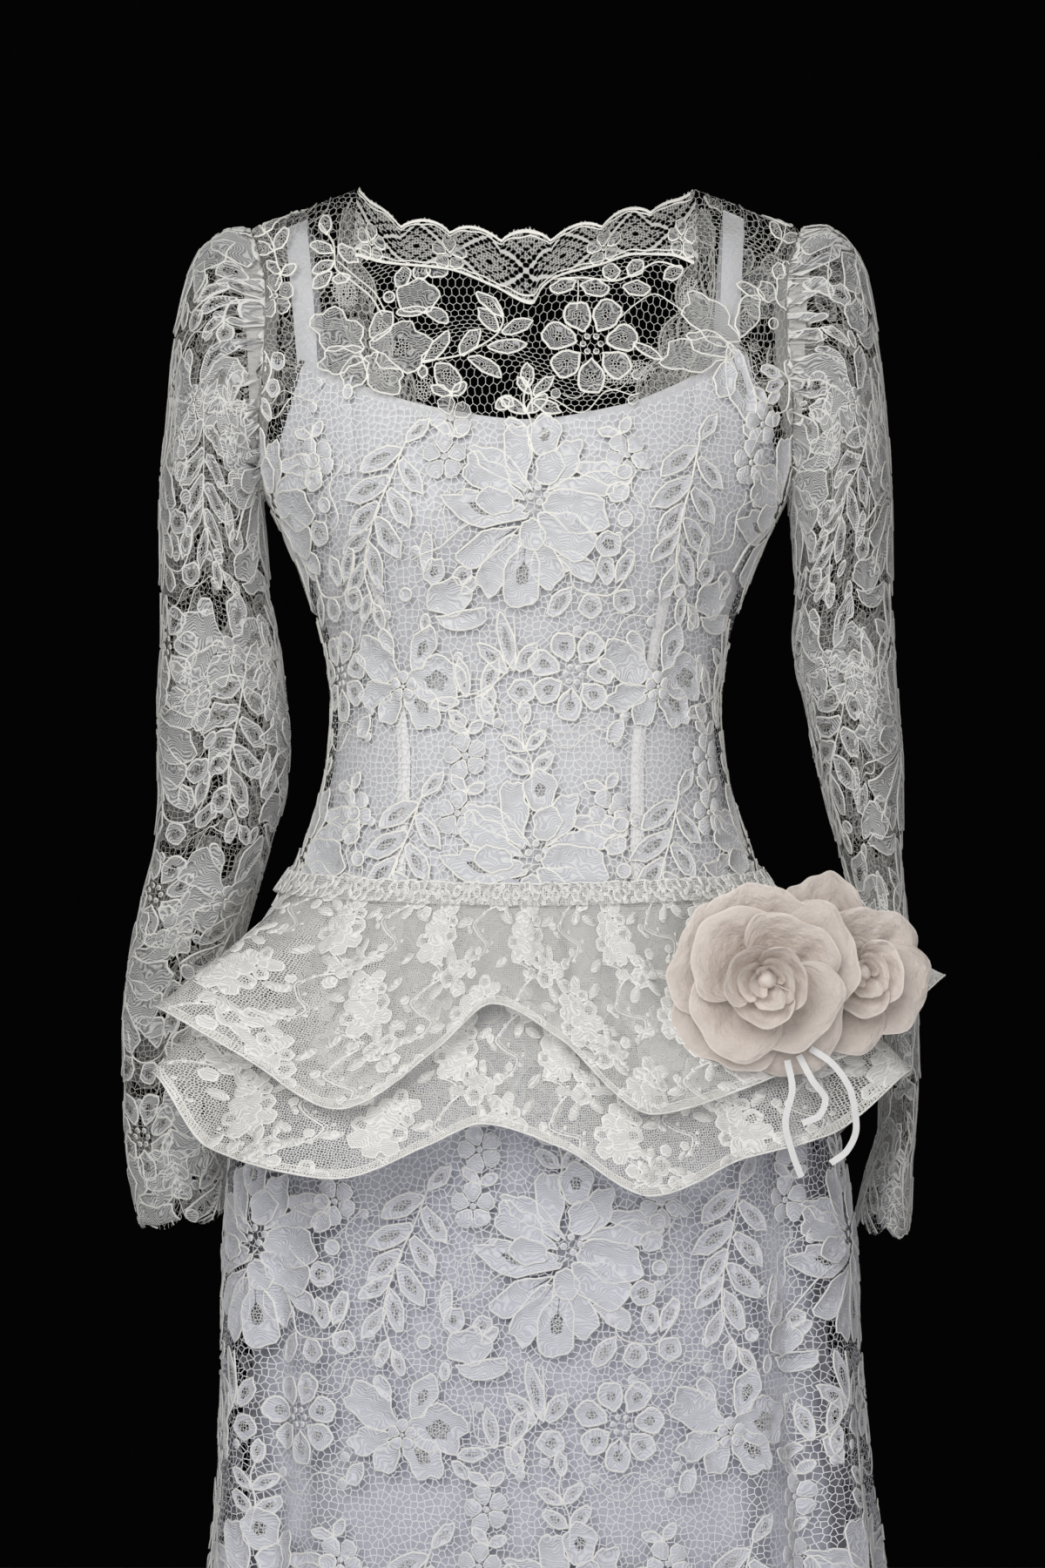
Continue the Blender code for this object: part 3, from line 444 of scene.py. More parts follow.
STRAPS = {
    # x of the strap at the front end, over the shoulder and at the back end
    -1: table("turn x", (0, -135), (0.45, -145), (1, -128)),
    1: table("turn x", (0, 125), (0.45, 131), (1, 124)),
}
RIDGE = table("x z", (108, 12), (126, 5), (147, -4), (172, -14))  # top of the shoulders
STRAP_WIDTH, STRAP_DROP, STRAP_INSET = 13.0, 6.0, 4.0
OVER = 0.45  # the share of a strap that lies before the shoulder
FRONT_START, BACK_START = 0.3, 0.6  # mm above the lining's edge
SIDES = ((-1, "right"), (1, "left"))


def strap(side):
    def point(u, v):
        x = read(STRAPS[side], "x", v) + (u - 0.5) * STRAP_WIDTH
        before = v <= OVER
        up = np.where(before, v / OVER, (1 - v) / (1 - OVER))
        front = lining_top_z(angle_at_x(x, -110 + 0 * x)) + FRONT_START
        start = np.where(before, front, LINING_BACK_TOP_Z + BACK_START)
        ridge = read(RIDGE, "z", np.abs(x)) - STRAP_DROP
        z = start + (ridge - start) * np.sin(up * QUARTER)
        wide = read(BODY, "half_width", z + STRAP_DROP)
        front, back = read(BODY, "front", z + STRAP_DROP), read(BODY, "back", z + STRAP_DROP)
        deep = np.where(before, front, back)
        y = deep * np.clip(1 - np.clip(np.abs(x) / wide, 0, 1) ** SQUARE, 0, 1) ** (1 / SQUARE)
        y = y - np.minimum(STRAP_INSET, y)
        return np.stack([x, np.where(before, -y, y), z], axis=-1)

    return point


for side, word in SIDES:
    cut(f"strap_{word}", strap(side), STRAP_WIDTH, 330, 6, 90, SATIN, 0.5)


# ---------------------------------------------------------------------------------------------
# Boning casings. Narrow satin channels, each with a bone in it, are sewn flat on the lining beside
# the princess seams and show as pale upright strips through the lace.

CASING_WIDTH, CASING_TOP_Z = 7.0, -210.0


def casing(side):
    line = princess_angle(side)

    def beside(across):
        off = side * (CASING_WIDTH / 2 + 1 + across * CASING_WIDTH / 2)
        return lambda z: line(z) + off / read(BODY, "front", z)

    def depth(z):
        return (UNDER - 2 - np.minimum(0.5, (CASING_TOP_Z - z) * 0.008),) * 2

    bottom = lambda angle: peplum_seam_z(angle) + 6
    return panel(beside(-side), beside(side), bottom, level(CASING_TOP_Z), depth)


PALE_SATIN = polyester_satin("casing_satin", "F4F3F1", "EBEAEA", 0.45, 0.9)
for side, word in SIDES:
    cut(f"boning_casing_{word}", casing(side), CASING_WIDTH, 215, 8, 70, PALE_SATIN, 0.6)


# ---------------------------------------------------------------------------------------------
# Lace bodice. Corded lace: machine net with flowers of dense clothwork, each outlined by a thick
# rayon cord. The front runs up into the sheer yoke; the two backs meet at the hooked closing.

UNDERARM_Z, SHOULDER_END_Z, NECK_POINT_Z, NECK_BACK_Z = -179.0, -14.0, 12.0, -168.0
ARMHOLE_MIDDLE = (SHOULDER_END_Z + UNDERARM_Z) / 2
ARMHOLE_HALF_HEIGHT = (SHOULDER_END_Z - UNDERARM_Z) / 2
ARMHOLE_HALF_DEPTH = 44.0
FRONT_NECK = table(
    "x z",
    (-108, 12), (-102, 0), (-97, -8), (-86, -16), (-75, -21), (-45, -25), (-19, -30), (15, -30),
    (46, -21), (76, -11), (94, -7), (102, 0), (108, 12),
)
BAND_ENDS_AT = 106.0  # the neck band takes the lace's place this far to each side of the middle
BAND_LOW = table(
    "x z", (-103, -38), (-87, -43), (-48, -48), (-20, -59), (4, -70), (10, -60), (19, -53), (46, -45),
    (68, -38), (88, -38), (103, -43),
)
BACK_NECK = (
    # x and z of the back neckline, from the shoulder down to the middle
    (108, 12), (109, -10), (107, -33), (99, -62), (86, -92), (69, -120), (46, -146), (22, -161), (0, -168),
)
# What each face of the lace is made of: its number among the lace's finishes
IS_CORD, IS_CLOTHWORK, IS_FINE_NET, IS_LINED_CLOTHWORK, IS_LINED_NET = range(1, 6)


def unrolled(behind):
    """The dress's front or back as flat cloth: the surface over (x, level), and x of an angle."""
    levels = np.linspace(LACE_HEM_Z - 4, NECK_POINT_Z, 320)
    turns = np.linspace(0, QUARTER, 90)
    wide, deep = read(BODY, "half_width", levels), read(BODY, "back" if behind else "front", levels)
    x = wide[:, None] * np.sin(turns) ** (2 / SQUARE)
    y = deep[:, None] * np.cos(turns) ** (2 / SQUARE)
    steps = np.hypot(np.diff(x, axis=1, prepend=0), np.diff(y, axis=1, prepend=deep[:, None]))
    lengths = np.cumsum(steps, axis=1)
    shares = np.linspace(0, 1, 90)
    angles = np.array([np.interp(shares, row / row[-1], turns) for row in lengths])

    def between(rows, z, place):
        """A value between four neighbours of a grid, by its level and its place from 0 to 1."""
        row = np.interp(z, levels, np.arange(len(levels)))
        column = np.clip(place, 0, 1) * (len(shares) - 1)
        i = np.minimum(row.astype(int), len(levels) - 2)
        j = np.minimum(column.astype(int), len(shares) - 2)
        s, t = row - i, column - j
        low = rows[i, j] * (1 - t) + rows[i, j + 1] * t
        return low * (1 - s) + (rows[i + 1, j] * (1 - t) + rows[i + 1, j + 1] * t) * s

    def surface(x, z):
        angle = np.sign(x) * between(angles, z, np.abs(x) / np.interp(z, levels, lengths[:, -1]))
        return section(math.pi - angle if behind else angle, z)

    def across(angle, z):
        """How far across the flat cloth an angle from the middle lies."""
        angle, z = np.broadcast_arrays(np.asarray(angle, float), np.asarray(z, float))
        return np.sign(angle) * between(lengths, z, np.abs(angle) / QUARTER)

    return surface, across


def trimmed(mesh, keep):
    """Cuts off the work that runs past the cloth's edge."""
    faces = list(mesh.faces)
    middles = np.array([f.calc_center_median()[:2] for f in faces]).T
    kept = keep(*middles)
    bmesh.ops.delete(mesh, geom=[f for f, k in zip(faces, kept) if not k], context="FACES")


def net(mesh, left, right, low, high, cell, thread, keep):
    """Machine net: staggered six-sided cells with round threads between them."""
    across, up = cell / 2, cell * 0.866
    columns, rows = int((right - left) / cell * 2), int((high - low) / cell / 0.866)
    fresh = lay_grid(mesh, left, left + columns * across, low, low + rows * up, columns, rows)
    place = {v: (round((v.co.x - left) / across), round((v.co.y - low) / up)) for v in fresh}
    loose = []
    for edge in {e for v in fresh for e in v.link_edges}:
        (i, j), (k, m) = place[edge.verts[0]], place[edge.verts[1]]
        if i == k and 0 < i < columns and (i + min(j, m)) % 2:
            loose.append(edge)
    for vertex, (i, j) in place.items():
        vertex.co.y += cell * (-0.14 if (i + j) % 2 else 0.14)
        # Machine net pulls out of true where the work is tight.
        pulled = 5 * math.sin(vertex.co.y / 11 + 1.8 * math.sin(vertex.co.x / 24))
        vertex.co.y += pulled + 0.5 * math.sin(vertex.co.x / 7)
        vertex.co.x += 1.5 * math.sin(vertex.co.y / 9 + 1.7 * math.sin(vertex.co.x / 37))
    bmesh.ops.dissolve_edges(mesh, edges=loose)
    trimmed(mesh, keep)
    threads = bmesh.ops.inset_individual(
        mesh, faces=list(mesh.faces), thickness=thread / 2, depth=-0.12, use_even_offset=True
    )
    ring = set(threads["faces"])
    bmesh.ops.delete(mesh, geom=[f for f in mesh.faces if f not in ring], context="FACES")


def disc(mesh, sides):
    """A round that faces up, to be drawn out into a petal, leaf or patch."""
    ring = bmesh.ops.create_circle(mesh, cap_ends=True, segments=sides, radius=1)["verts"]
    face = ring[0].link_faces[0]
    if face.normal.z < 0:
        face.normal_flip()
    return ring, face


def turned_spot(x, y, along, off, turn, height):
    """A place along and off a direction that leaves x and y at a turn, in radians."""
    c, s = math.cos(turn), math.sin(turn)
    return x + along * c - off * s, y + along * s + off * c, height


def blade(
    mesh, x, y, length, width, turn, low=0.5, tip=0.0, bend=0.0, wave=0.0, cord=0.9, eye=0.0, sides=12,
    height=0.3,
):
    """A petal or leaf of clothwork with a cord round it: low narrows its base, tip its far end."""
    ring, face = disc(mesh, sides)
    top = max(
        math.sin(p) * ((1 - math.cos(p)) / 2) ** low * ((1 + math.cos(p)) / 2) ** tip
        for p in np.linspace(0.1, 3, 40)
    )
    turn, bend = math.radians(turn), math.radians(bend) or 1e-4
    for vertex in ring:
        phi = math.atan2(vertex.co.y, -vertex.co.x)
        t = (1 - math.cos(phi)) / 2
        # The edge runs in scallops.
        wavy = 1 + wave * (2.6 * abs(math.sin(2.5 * phi + x + y)) - 1.6 + 0.4 * math.cos(7 * phi + x))
        half = math.sin(phi) * t**low * (1 - t) ** tip / top * width / 2 * wavy
        t = 0.5 + (t - 0.5) * wavy
        along = Vector((math.sin(bend * t), 1 - math.cos(bend * t))) * length / bend
        at = along + Vector((-math.sin(bend * t), math.cos(bend * t))) * half
        vertex.co = turned_spot(x, y, at.x, at.y, turn, height)
    face.normal_update()
    cord = min(cord, 0.3 * width)
    # A thick cord rises and falls again; a thin one only rises.
    slopes = ((cord / 2, 0.75), (cord / 2, -0.55)) if cord > 0.95 else ((cord * 0.8, 0.5),)
    for thickness, depth in slopes:
        edge = bmesh.ops.inset_region(mesh, faces=[face], thickness=thickness, depth=depth, use_boundary=True)
        for made in edge["faces"]:
            made.material_index = IS_CORD
    face.material_index = IS_CLOTHWORK
    if eye:
        # The middle of the petal is left as open net.
        rim = bmesh.ops.inset_region(mesh, faces=[face], thickness=0.05, use_boundary=True)["faces"]
        middle = face.calc_center_median()
        for vertex in face.verts:
            vertex.co = middle + (vertex.co - middle) * eye
        for made in rim:
            made.material_index = IS_CLOTHWORK
        face.material_index = IS_FINE_NET
    if width > 14:
        bmesh.ops.poke(mesh, faces=[face], offset=0.3)


def cord(mesh, places, width=0.9, height=0.8, steps=5):
    """A thick couched cord through places on the flat cloth."""
    keys = np.arange(len(places))
    xs, ys = np.array(places, float).T
    routes = table("t x y", *zip(keys, xs, ys))
    count = (len(places) - 1) * steps
    fresh = bmesh.ops.create_grid(mesh, x_segments=2, y_segments=count, size=1)["verts"]
    for vertex in fresh:
        t = (vertex.co.y + 1) / 2 * (len(places) - 1)
        ahead, back = min(t + 0.05, keys[-1]), max(t - 0.05, 0)
        dx = float(read(routes, "x", ahead) - read(routes, "x", back))
        dy = float(read(routes, "y", ahead) - read(routes, "y", back))
        scale = width / 2 / (math.hypot(dx, dy) or 1)
        side = vertex.co.x
        vertex.co = (
            float(read(routes, "x", t)) + dy * scale * side,
            float(read(routes, "y", t)) - dx * scale * side,
            0.3 + (0 if abs(side) > 0.5 else height),
        )
    for face in {f for v in fresh for f in v.link_faces}:
        face.material_index = IS_CORD


def small_flower(mesh, x=0, y=0, size=13.0, petals=5, turn=20, height=0.3):
    for index in range(petals):
        degrees = turn + index * 360 / petals
        way = math.radians(degrees)
        blade(
            mesh, x + 0.16 * size * math.cos(way), y + 0.16 * size * math.sin(way),
            size * (0.86 + 0.1 * (index % 2)), size * 0.86, degrees, 0.35, sides=8,
            height=height + 0.12 * (index % 3),
        )
    blade(mesh, x - 0.15 * size, y, 0.3 * size, 0.3 * size, 0, 0, cord=0.7, sides=7, height=height + 0.7)


def petals(mesh, rows):
    """Petals that overlap: x, y, turn, length, width, low, bend, wave and eye of each."""
    for index, (x, y, turn, length, width, low, bend, wave, eye) in enumerate(rows):
        blade(
            mesh, x, y, length, width, turn, low, bend=bend, wave=wave, eye=eye, cord=1.1,
            height=0.3 + 0.06 * index, sides=20 if length + width > 44 else 14,
        )


def peony(mesh):
    """The largest flower: round lobes below, two big petals beside, long curled ones opposite."""
    petals(
        mesh,
        (
            (8, 14, 6, 47, 15, 0.2, 10, 0.12, 0), (20, 27, 2, 36, 14, 0.2, -20, 0.10, 0),
            (42, 12, 20, 15, 13, 0, 0, 0.06, 0), (-4, 10, 138, 44, 15, 0.3, 24, 0.12, 0),
            (-8, 4, 160, 44, 21, 0.3, -26, 0.13, 0), (-8, 16, 118, 36, 18, 0.2, -30, 0.10, 0),
            (6, 12, 58, 36, 17, 0.2, 16, 0.10, 0), (0, 32, 86, 26, 21, 0.1, 0, 0.08, 0.35),
            (-8, -12, 210, 44, 17, 0.4, 14, 0.10, 0), (-4, -2, 194, 52, 20, 0.2, -34, 0.12, 0.42),
            (-7, -14, 240, 45, 20, 0.4, 8, 0.09, 0), (3, -16, 294, 33, 20, 0.4, -8, 0.08, 0),
            (16, -26, 352, 28, 14, 0.2, -44, 0.08, 0), (38, -18, 8, 17, 16, 0, 0, 0.06, 0.5),
            (50, -1, 0, 10, 10, 0, 0, 0, 0), (46, 26, 10, 11, 10, 0, 0, 0, 0),
            (-3, -17, 267, 44, 24, 0.4, 2, 0.07, 0.35), (2, -4, 328, 40, 26, 0.15, 12, 0.09, 0),
            (4, 5, 353, 42, 26, 0.15, -14, 0.09, 0), (-12, 0, 170, 25, 17, 0.1, 10, 0.08, 0),
            (2, 14, 70, 23, 18, 0.1, 0, 0.08, 0), (-3, -6, 285, 20, 17, 0.1, 0, 0.06, 0),
        ),
    )
    for x, y in ((2, 3), (-4, 6), (6, 8), (0, 12)):
        blade(mesh, x - 2, y, 4.6, 4.6, 20, 0, cord=0.9, sides=7, height=1.7)
    cord(mesh, ((0, 0), (-14, -9), (-26, -8), (-40, -14), (-56, -30)), 1.0, 1.4)


def bloom(mesh):
    """Half-drop flower with wavy petals of unlike sizes, an open eye and a curled leaf."""
    petals(
        mesh,
        (
            (3, 4, 300, 33, 22, 0.2, 10, 0.10, 0.4), (-4, -3, 242, 22, 17, 0.2, 0, 0.08, 0),
            (3, 4, 8, 36, 30, 0.15, -10, 0.12, 0.42), (-4, 6, 152, 37, 25, 0.15, -14, 0.12, 0),
            (-6, -1, 190, 29, 17, 0.15, 14, 0.11, 0), (6, 10, 78, 30, 16, 0.3, -22, 0.08, 0.4),
            (-9, 20, 110, 18, 10, 0.2, 30, 0.05, 0), (-24, -18, 230, 17, 11, 0.2, 20, 0.06, 0),
            (30, -12, 320, 15, 9, 0.2, 0, 0.05, 0.4),
        ),
    )
    small_flower(mesh, 0, 1, 9, 5, height=1.4)


def ringed_flower(mesh):
    """Seven round petals with open eyes, and a ring of tiny rounds at the middle."""
    for index in range(7):
        turn = 12 + index * 360 / 7
        way = math.radians(turn)
        blade(
            mesh, 8 * math.cos(way), 8 * math.sin(way), 19 + 2 * (index % 2), 16.5, turn, 0.3, eye=0.42,
            sides=17, cord=1.3, wave=0.05, height=0.3 + 0.15 * (index % 2),
        )
    for index in range(6):
        way = math.radians(60 * index)
        blade(mesh, 5 * math.cos(way) - 1.8, 5 * math.sin(way), 3.8, 3.8, 0, 0, cord=0.8, sides=7, height=0.8)


def rosebud(mesh):
    """A bud seen from the side, with curls above and a curled leaf below."""
    petals(
        mesh,
        (
            (-13, 14, 84, 25, 9, 0, 0, 0.04, 0), (-14, -10, 262, 12, 7.5, 0, 0, 0, 0.5),
            (-11, 7, 66, 17, 14, 0, 0, 0.08, 0.45), (4, 9, 20, 13, 12, 0, 0, 0.06, 0.5),
            (-14, -2, 0, 29, 23, 0.1, 10, 0.10, 0), (8, 0, 30, 15, 8, 0.1, 30, 0.05, 0),
            (-8, -13, 335, 34, 13, 0.2, 60, 0.06, 0), (-22, 2, 180, 9, 9, 0, 0, 0, 0),
        ),
    )


def leaves(mesh, stem, rows, width=1.2):
    """Open leaves along a corded stem: each has its place, turn, length, width, bend and eye."""
    cord(mesh, stem, width, 1.0)
    for index, (x, y, turn, length, wide, bend, eye) in enumerate(rows):
        blade(
            mesh, x, y, length, wide + 1, turn, 0.25, 0.2, bend=bend, eye=eye, sides=12, cord=1.2,
            wave=0.06, height=0.3 + 0.1 * (index % 3),
        )


def branch(mesh):
    leaves(
        mesh,
        ((12, 44), (4, 18), (-6, -10), (-10, -36), (0, -62)),
        (
            (10, 38, 205, 31, 13, 14, 0.5), (9, 32, 302, 27, 11, 12, 0.5), (5, 20, 214, 34, 13, -10, 0.5),
            (3, 13, 312, 28, 12, -16, 0.5), (-1, 4, 220, 30, 12, 14, 0.5), (-3, -4, 300, 30, 13, 14, 0.5),
            (-6, -12, 226, 27, 10, -16, 0.5), (-7, -20, 288, 28, 11, 0, 0.5),
            (-9, -32, 238, 25, 10, 0, 0.5), (11, 42, 44, 21, 9, 12, 0.5), (-5, -50, 250, 20, 8, 10, 0.5),
            (-2, -56, 300, 18, 8, -10, 0.5),
        ),
    )


def trio(mesh):
    leaves(
        mesh,
        ((-16, 16), (-14, 2), (-6, -3), (8, -4), (20, 10), (24, 22)),
        (
            (-14, 0, 235, 23, 11, 0, 0.6), (-4, -3, 285, 16, 15, 0, 0.55), (12, -2, 330, 16, 15, 0, 0.5),
            (8, 2, 100, 20, 11, 0, 0.45), (13, 4, 62, 23, 10, 10, 0.5), (-14, 10, 150, 13, 8, 0, 0),
        ),
    )


def spray(mesh):
    leaves(
        mesh,
        ((-28, -30), (-14, -26), (2, -14), (8, 0), (6, 22)),
        (
            (8, -12, 107, 38, 10, 0, 0.5), (4, -14, 128, 27, 10, 20, 0.5), (9, -12, 52, 22, 11, 10, 0.5),
            (4, -24, 0, 18, 16, 0, 0.5), (-10, -28, 78, 25, 10, -14, 0.5), (-20, -30, 104, 26, 9, 0, 0.5),
            (-14, -27, 300, 21, 10, 0, 0.5), (-24, -32, 190, 20, 9, 0, 0.5), (-4, -22, 250, 18, 9, 14, 0.4),
        ),
    )


def sprig(mesh):
    leaves(
        mesh,
        ((0, -24), (2, -6), (-2, 10), (2, 24)),
        (
            (1, -12, 34, 19, 9, 10, 0.5), (1, -12, 146, 19, 9, -10, 0.5), (-1, 2, 40, 18, 8, 0, 0.5),
            (-1, 2, 142, 18, 8, 0, 0.5), (1, 18, 90, 16, 8, 0, 0.5),
        ),
    )


def tendril(mesh):
    """Thin wavy cords, with tiny rounds, that fill the net between the flowers."""
    cord(mesh, [(x, 5 * math.sin(x / 6) + x * x / 160) for x in range(-28, 29, 4)], 0.8, 0.7, 2)
    cord(mesh, [(x, 8 + 3 * math.sin(x / 4 + 1)) for x in range(-18, 23, 4)], 0.6, 0.5, 2)
    for x, y in ((-25, 9), (20, -5), (26, 10)):
        blade(mesh, x, y, 6.5, 6.5, 30, 0, cord=0.8, sides=8)


def flower_small(mesh):
    small_flower(mesh, 0, 0, 13.5)
    pair = ((4, 13, 30, 13, 7, 0, 0), (4, 14, 140, 14, 7, 0, 0))
    leaves(mesh, ((0, 6), (4, 14), (8, 20)), pair, 0.8)


def worked(draw):
    """One motif, drawn once as flat work."""
    mesh = bmesh.new()
    draw(mesh)
    return as_data(mesh, draw.__name__)


MOTIFS = {
    draw.__name__: worked(draw)
    for draw in (peony, bloom, ringed_flower, rosebud, branch, trio, spray, sprig, tendril, flower_small)
}
REPEAT_ACROSS = 200.0
REPEAT = (
    # the lace's repeat: motif, x and y from the middle of a peony, turn
    ("peony", 0, 0, 0),
    ("flower_small", -57, 31, 0),
    ("flower_small", 57, 32, 30),
    ("branch", 100, 0, 0),
    ("rosebud", -62, -52, 0),
    ("trio", 42, -48, 0),
    ("ringed_flower", 30, -100, 0),
    ("spray", -24, -86, 0),
    ("bloom", 98, -108, 0),
    ("sprig", -5, -149, 0),
    ("tendril", -58, -10, 60),
    ("tendril", -46, -112, -40),
    ("tendril", 62, -74, 30),
    ("tendril", 36, -140, 10),
    ("flower_small", -52, -150, 10),
    ("tendril", 66, 4, 80),
)


def stamp(mesh, motif, x, y, turn=0.0, size=1.0):
    """Lays one motif on the flat work."""
    copy = MOTIFS[motif].copy()
    place = Matrix.Translation((x, y, 0)) @ Matrix.Rotation(math.radians(turn), 4, "Z")
    copy.transform(place @ Matrix.Diagonal((size, size, 1, 1)))
    mesh.from_mesh(copy)
    bpy.data.meshes.remove(copy)


def lay_repeat(mesh, first_x, levels, columns, spread, below=1000):
    """Lays the repeat, its peonies at the levels; spread narrows it at the waist, as darts do."""
    for row, top in enumerate(levels):
        for column in columns:
            for index, (motif, x, y, turn) in enumerate(REPEAT):
                if top + y > below:
                    continue
                sway = 6 * math.sin(row * 5 + column * 3 + index)
                at = (first_x + column * REPEAT_ACROSS + x) * spread(top + y)
                stamp(mesh, motif, at, top + y, turn + sway)


def yoke(mesh):
    """The front yoke's flowers as they lie, in mm across and up: this part of the lace shows best."""
    leaves(  # spray in the middle
        mesh,
        ((-64, -105), (-43, -102), (-27, -95), (-17, -87), (-14, -79), (-19, -69)),
        (
            (-63, -106, 40, 26, 9, 24, 0.5), (-40, -102, 62, 21, 10, -14, 0.5),
            (-17, -87, 124, 20, 9, 10, 0.5), (-15, -88, 30, 21, 9, -14, 0.5),
            (-24, -96, -4, 25, 9, 16, 0.5), (-36, -103, -14, 25, 9, -34, 0.5),
            (-55, -106, -52, 23, 15, 0, 0.55), (-14, -78, 122, 24, 8, 30, 0.5),
            (-63, -107, 270, 9, 6, 0, 0),
        ),
    )
    petals(  # bud to the left of it, with its ball
        mesh,
        (
            (-79, -58, 66, 15, 10, 0, 0, 0.06, 0.4), (-62, -47, -8, 15, 10, 0, 20, 0.06, 0),
            (-70, -50, 20, 12, 10, 0, 0, 0.05, 0.5), (-80, -64, 0, 27, 22, 0, 0, 0.09, 0),
            (-62, -73, -6, 17, 9, 0, -50, 0.04, 0), (-80, -74, 0, 20, 7, 0, 12, 0.04, 0),
            (-88, -64, 0, 8, 8, 0, 0, 0, 0.5),
        ),
    )
    leaves(  # branch from the left shoulder down to the bloom
        mesh,
        ((-128, -14), (-119, -30), (-118, -43), (-106, -54), (-95, -64), (-88, -76)),
        (
            (-119, -34, 148, 17, 8, 20, 0.5), (-116, -28, -56, 18, 9, 20, 0.5),
            (-118, -40, 200, 16, 8, 10, 0.5), (-120, -46, 222, 16, 9, 0, 0.5),
            (-124, -22, 100, 15, 8, -10, 0.5), (-108, -50, 190, 12, 7, 0, 0.5),
        ),
    )
    cord(mesh, ((-116, -40), (-104, -51), (-93, -61), (-86, -74)), 1.0, 1.0)
    petals(  # bloom at the left
        mesh,
        (
            (-96, -99, 300, 31, 21, 0.1, 10, 0.10, 0.4), (-100, -101, 244, 22, 17, 0, 0, 0.08, 0),
            (-95, -96, 2, 36, 32, 0.1, -10, 0.12, 0.4), (-99, -95, 152, 38, 25, 0.1, -14, 0.12, 0),
            (-99, -99, 188, 29, 18, 0.1, 16, 0.11, 0), (-94, -92, 66, 22, 14, 0.2, -10, 0.06, 0.4),
            (-108, -118, 250, 10, 7, 0, 30, 0, 0),
        ),
    )
    leaves(  # row of leaves under the band at the right
        mesh,
        ((17, -53), (34, -52), (53, -54), (67, -49), (82, -41), (96, -45)),
        (
            (31, -54, 208, 18, 9, -20, 0.5), (33, -57, -10, 19, 11, 0, 0.55), (59, -58, -4, 18, 10, 0, 0.5),
            (53, -54, 96, 12, 11, 0, 0.5), (63, -51, 52, 14, 10, 0, 0.5), (97, -44, 214, 15, 9, 0, 0.5),
        ),
    )
    cord(mesh, ((32, -54), (32, -62), (31, -73)), 0.8, 0.7)
    cord(mesh, ((56, -79), (68, -68), (79, -62), (90, -68), (98, -74)), 0.8, 0.7)
    petals(  # bloom at the right, over the strap
        mesh,
        (
            (126, -92, 278, 50, 17, 0.1, 14, 0.08, 0.4), (124, -103, 262, 24, 15, 0, 0, 0.08, 0),
            (128, -96, 184, 46, 22, 0.1, 14, 0.13, 0), (129, -92, 142, 42, 24, 0.1, -16, 0.12, 0),
            (128, -97, 164, 30, 16, 0.1, 0, 0.11, 0), (131, -88, 66, 30, 15, 0.2, 10, 0.08, 0.4),
        ),
    )
    leaves(  # pair of leaves on a stem at the middle of the scoop
        mesh,
        ((4, -138), (3, -125), (-2, -115)),
        (
            (3, -126, 128, 14, 6, 0, 0.5), (4, -127, 44, 18, 7, 0, 0.5), (4, -130, -22, 19, 8, 0, 0.5),
            (-8, -134, 120, 10, 8, 60, 0), (-18, -136, 60, 11, 8, -50, 0), (84, -104, 150, 22, 6, 0, 0.5),
        ),
    )
    for x, y, wide, tall, turn in (
        # patches of finer net
        (-112, -60, 22, 15, 120), (-62, -122, 16, 11, 80), (62, -112, 34, 15, 10), (100, -60, 20, 11, 70),
    ):
        patch, face = disc(mesh, 12)
        for vertex in patch:
            along, off = vertex.co.x * wide / 2, vertex.co.y * tall / 2
            vertex.co = turned_spot(x, y, along, off, math.radians(turn), 0.2)
        face.material_index = IS_FINE_NET


def cotton_thread(name, pale, roughness=0.8, fine=0.5):
    """Matt cotton or rayon thread, with the small twist of its plies as relief."""
    made, tree, shader = new_finish(name, roughness, sheen=0.3)
    place = add(tree, "UVMap", uv_map="pattern")
    shader.inputs["Base Color"].default_value = linear(pale)
    plies = add(tree, "TexNoise", {"Vector": place.outputs[0], "Scale": 1 / fine, "Detail": 1.0})
    relief = add(tree, "Bump", {"Height": plies.outputs[0], "Strength": 0.5, "Distance": 0.0002})
    tree.links.new(relief.outputs[0], shader.inputs["Normal"])
    return made


THREADS_APART = 2.0  # of clothwork: the real ones, 0.6 mm apart, would be too fine to show


def clothwork(name, pale, deep, openness):
    """Dense machine weaving inside a motif: short parallel threads that let a little through."""
    made, tree, shader = new_finish(name, 0.8, sheen=0.3)
    place = add(tree, "UVMap", uv_map="pattern")
    sway = add(tree, "TexNoise", {"Vector": place.outputs[0], "Scale": 1 / 15, "Detail": 1.0})
    swayed = {0: sway.outputs[1], 1: (30, 30, 0), 2: place.outputs[0]}
    warped = add(tree, "VectorMath", swayed, operation="MULTIPLY_ADD")
    threads = add(
        tree,
        "TexWave",
        {"Vector": warped.outputs[0], "Scale": WAVE / THREADS_APART, "Distortion": 3.0, "Detail Scale": 0.8},
        bands_direction="Y",
    )
    tones = {0: threads.outputs[1], 6: linear(deep), 7: linear(pale)}
    mixed = add(tree, "Mix", tones, data_type="RGBA")
    tree.links.new(mixed.outputs[2], shader.inputs["Base Color"])
    ribs = add(tree, "Bump", {"Height": threads.outputs[1], "Strength": 0.6, "Distance": 0.0004})
    crumple = add(tree, "TexNoise", {"Vector": place.outputs[0], "Scale": 1 / 5, "Detail": 2.0})
    relief = add(
        tree,
        "Bump",
        {"Height": crumple.outputs[0], "Strength": 0.7, "Distance": 0.0016, "Normal": ribs.outputs[0]},
    )
    tree.links.new(relief.outputs[0], shader.inputs["Normal"])
    if not openness:
        return made
    solid = add(tree, "MapRange", {0: threads.outputs[1], 3: 1 - openness * 1.5, 4: 1 - openness * 0.5})
    tree.links.new(solid.outputs[0], shader.inputs["Alpha"])
    return made


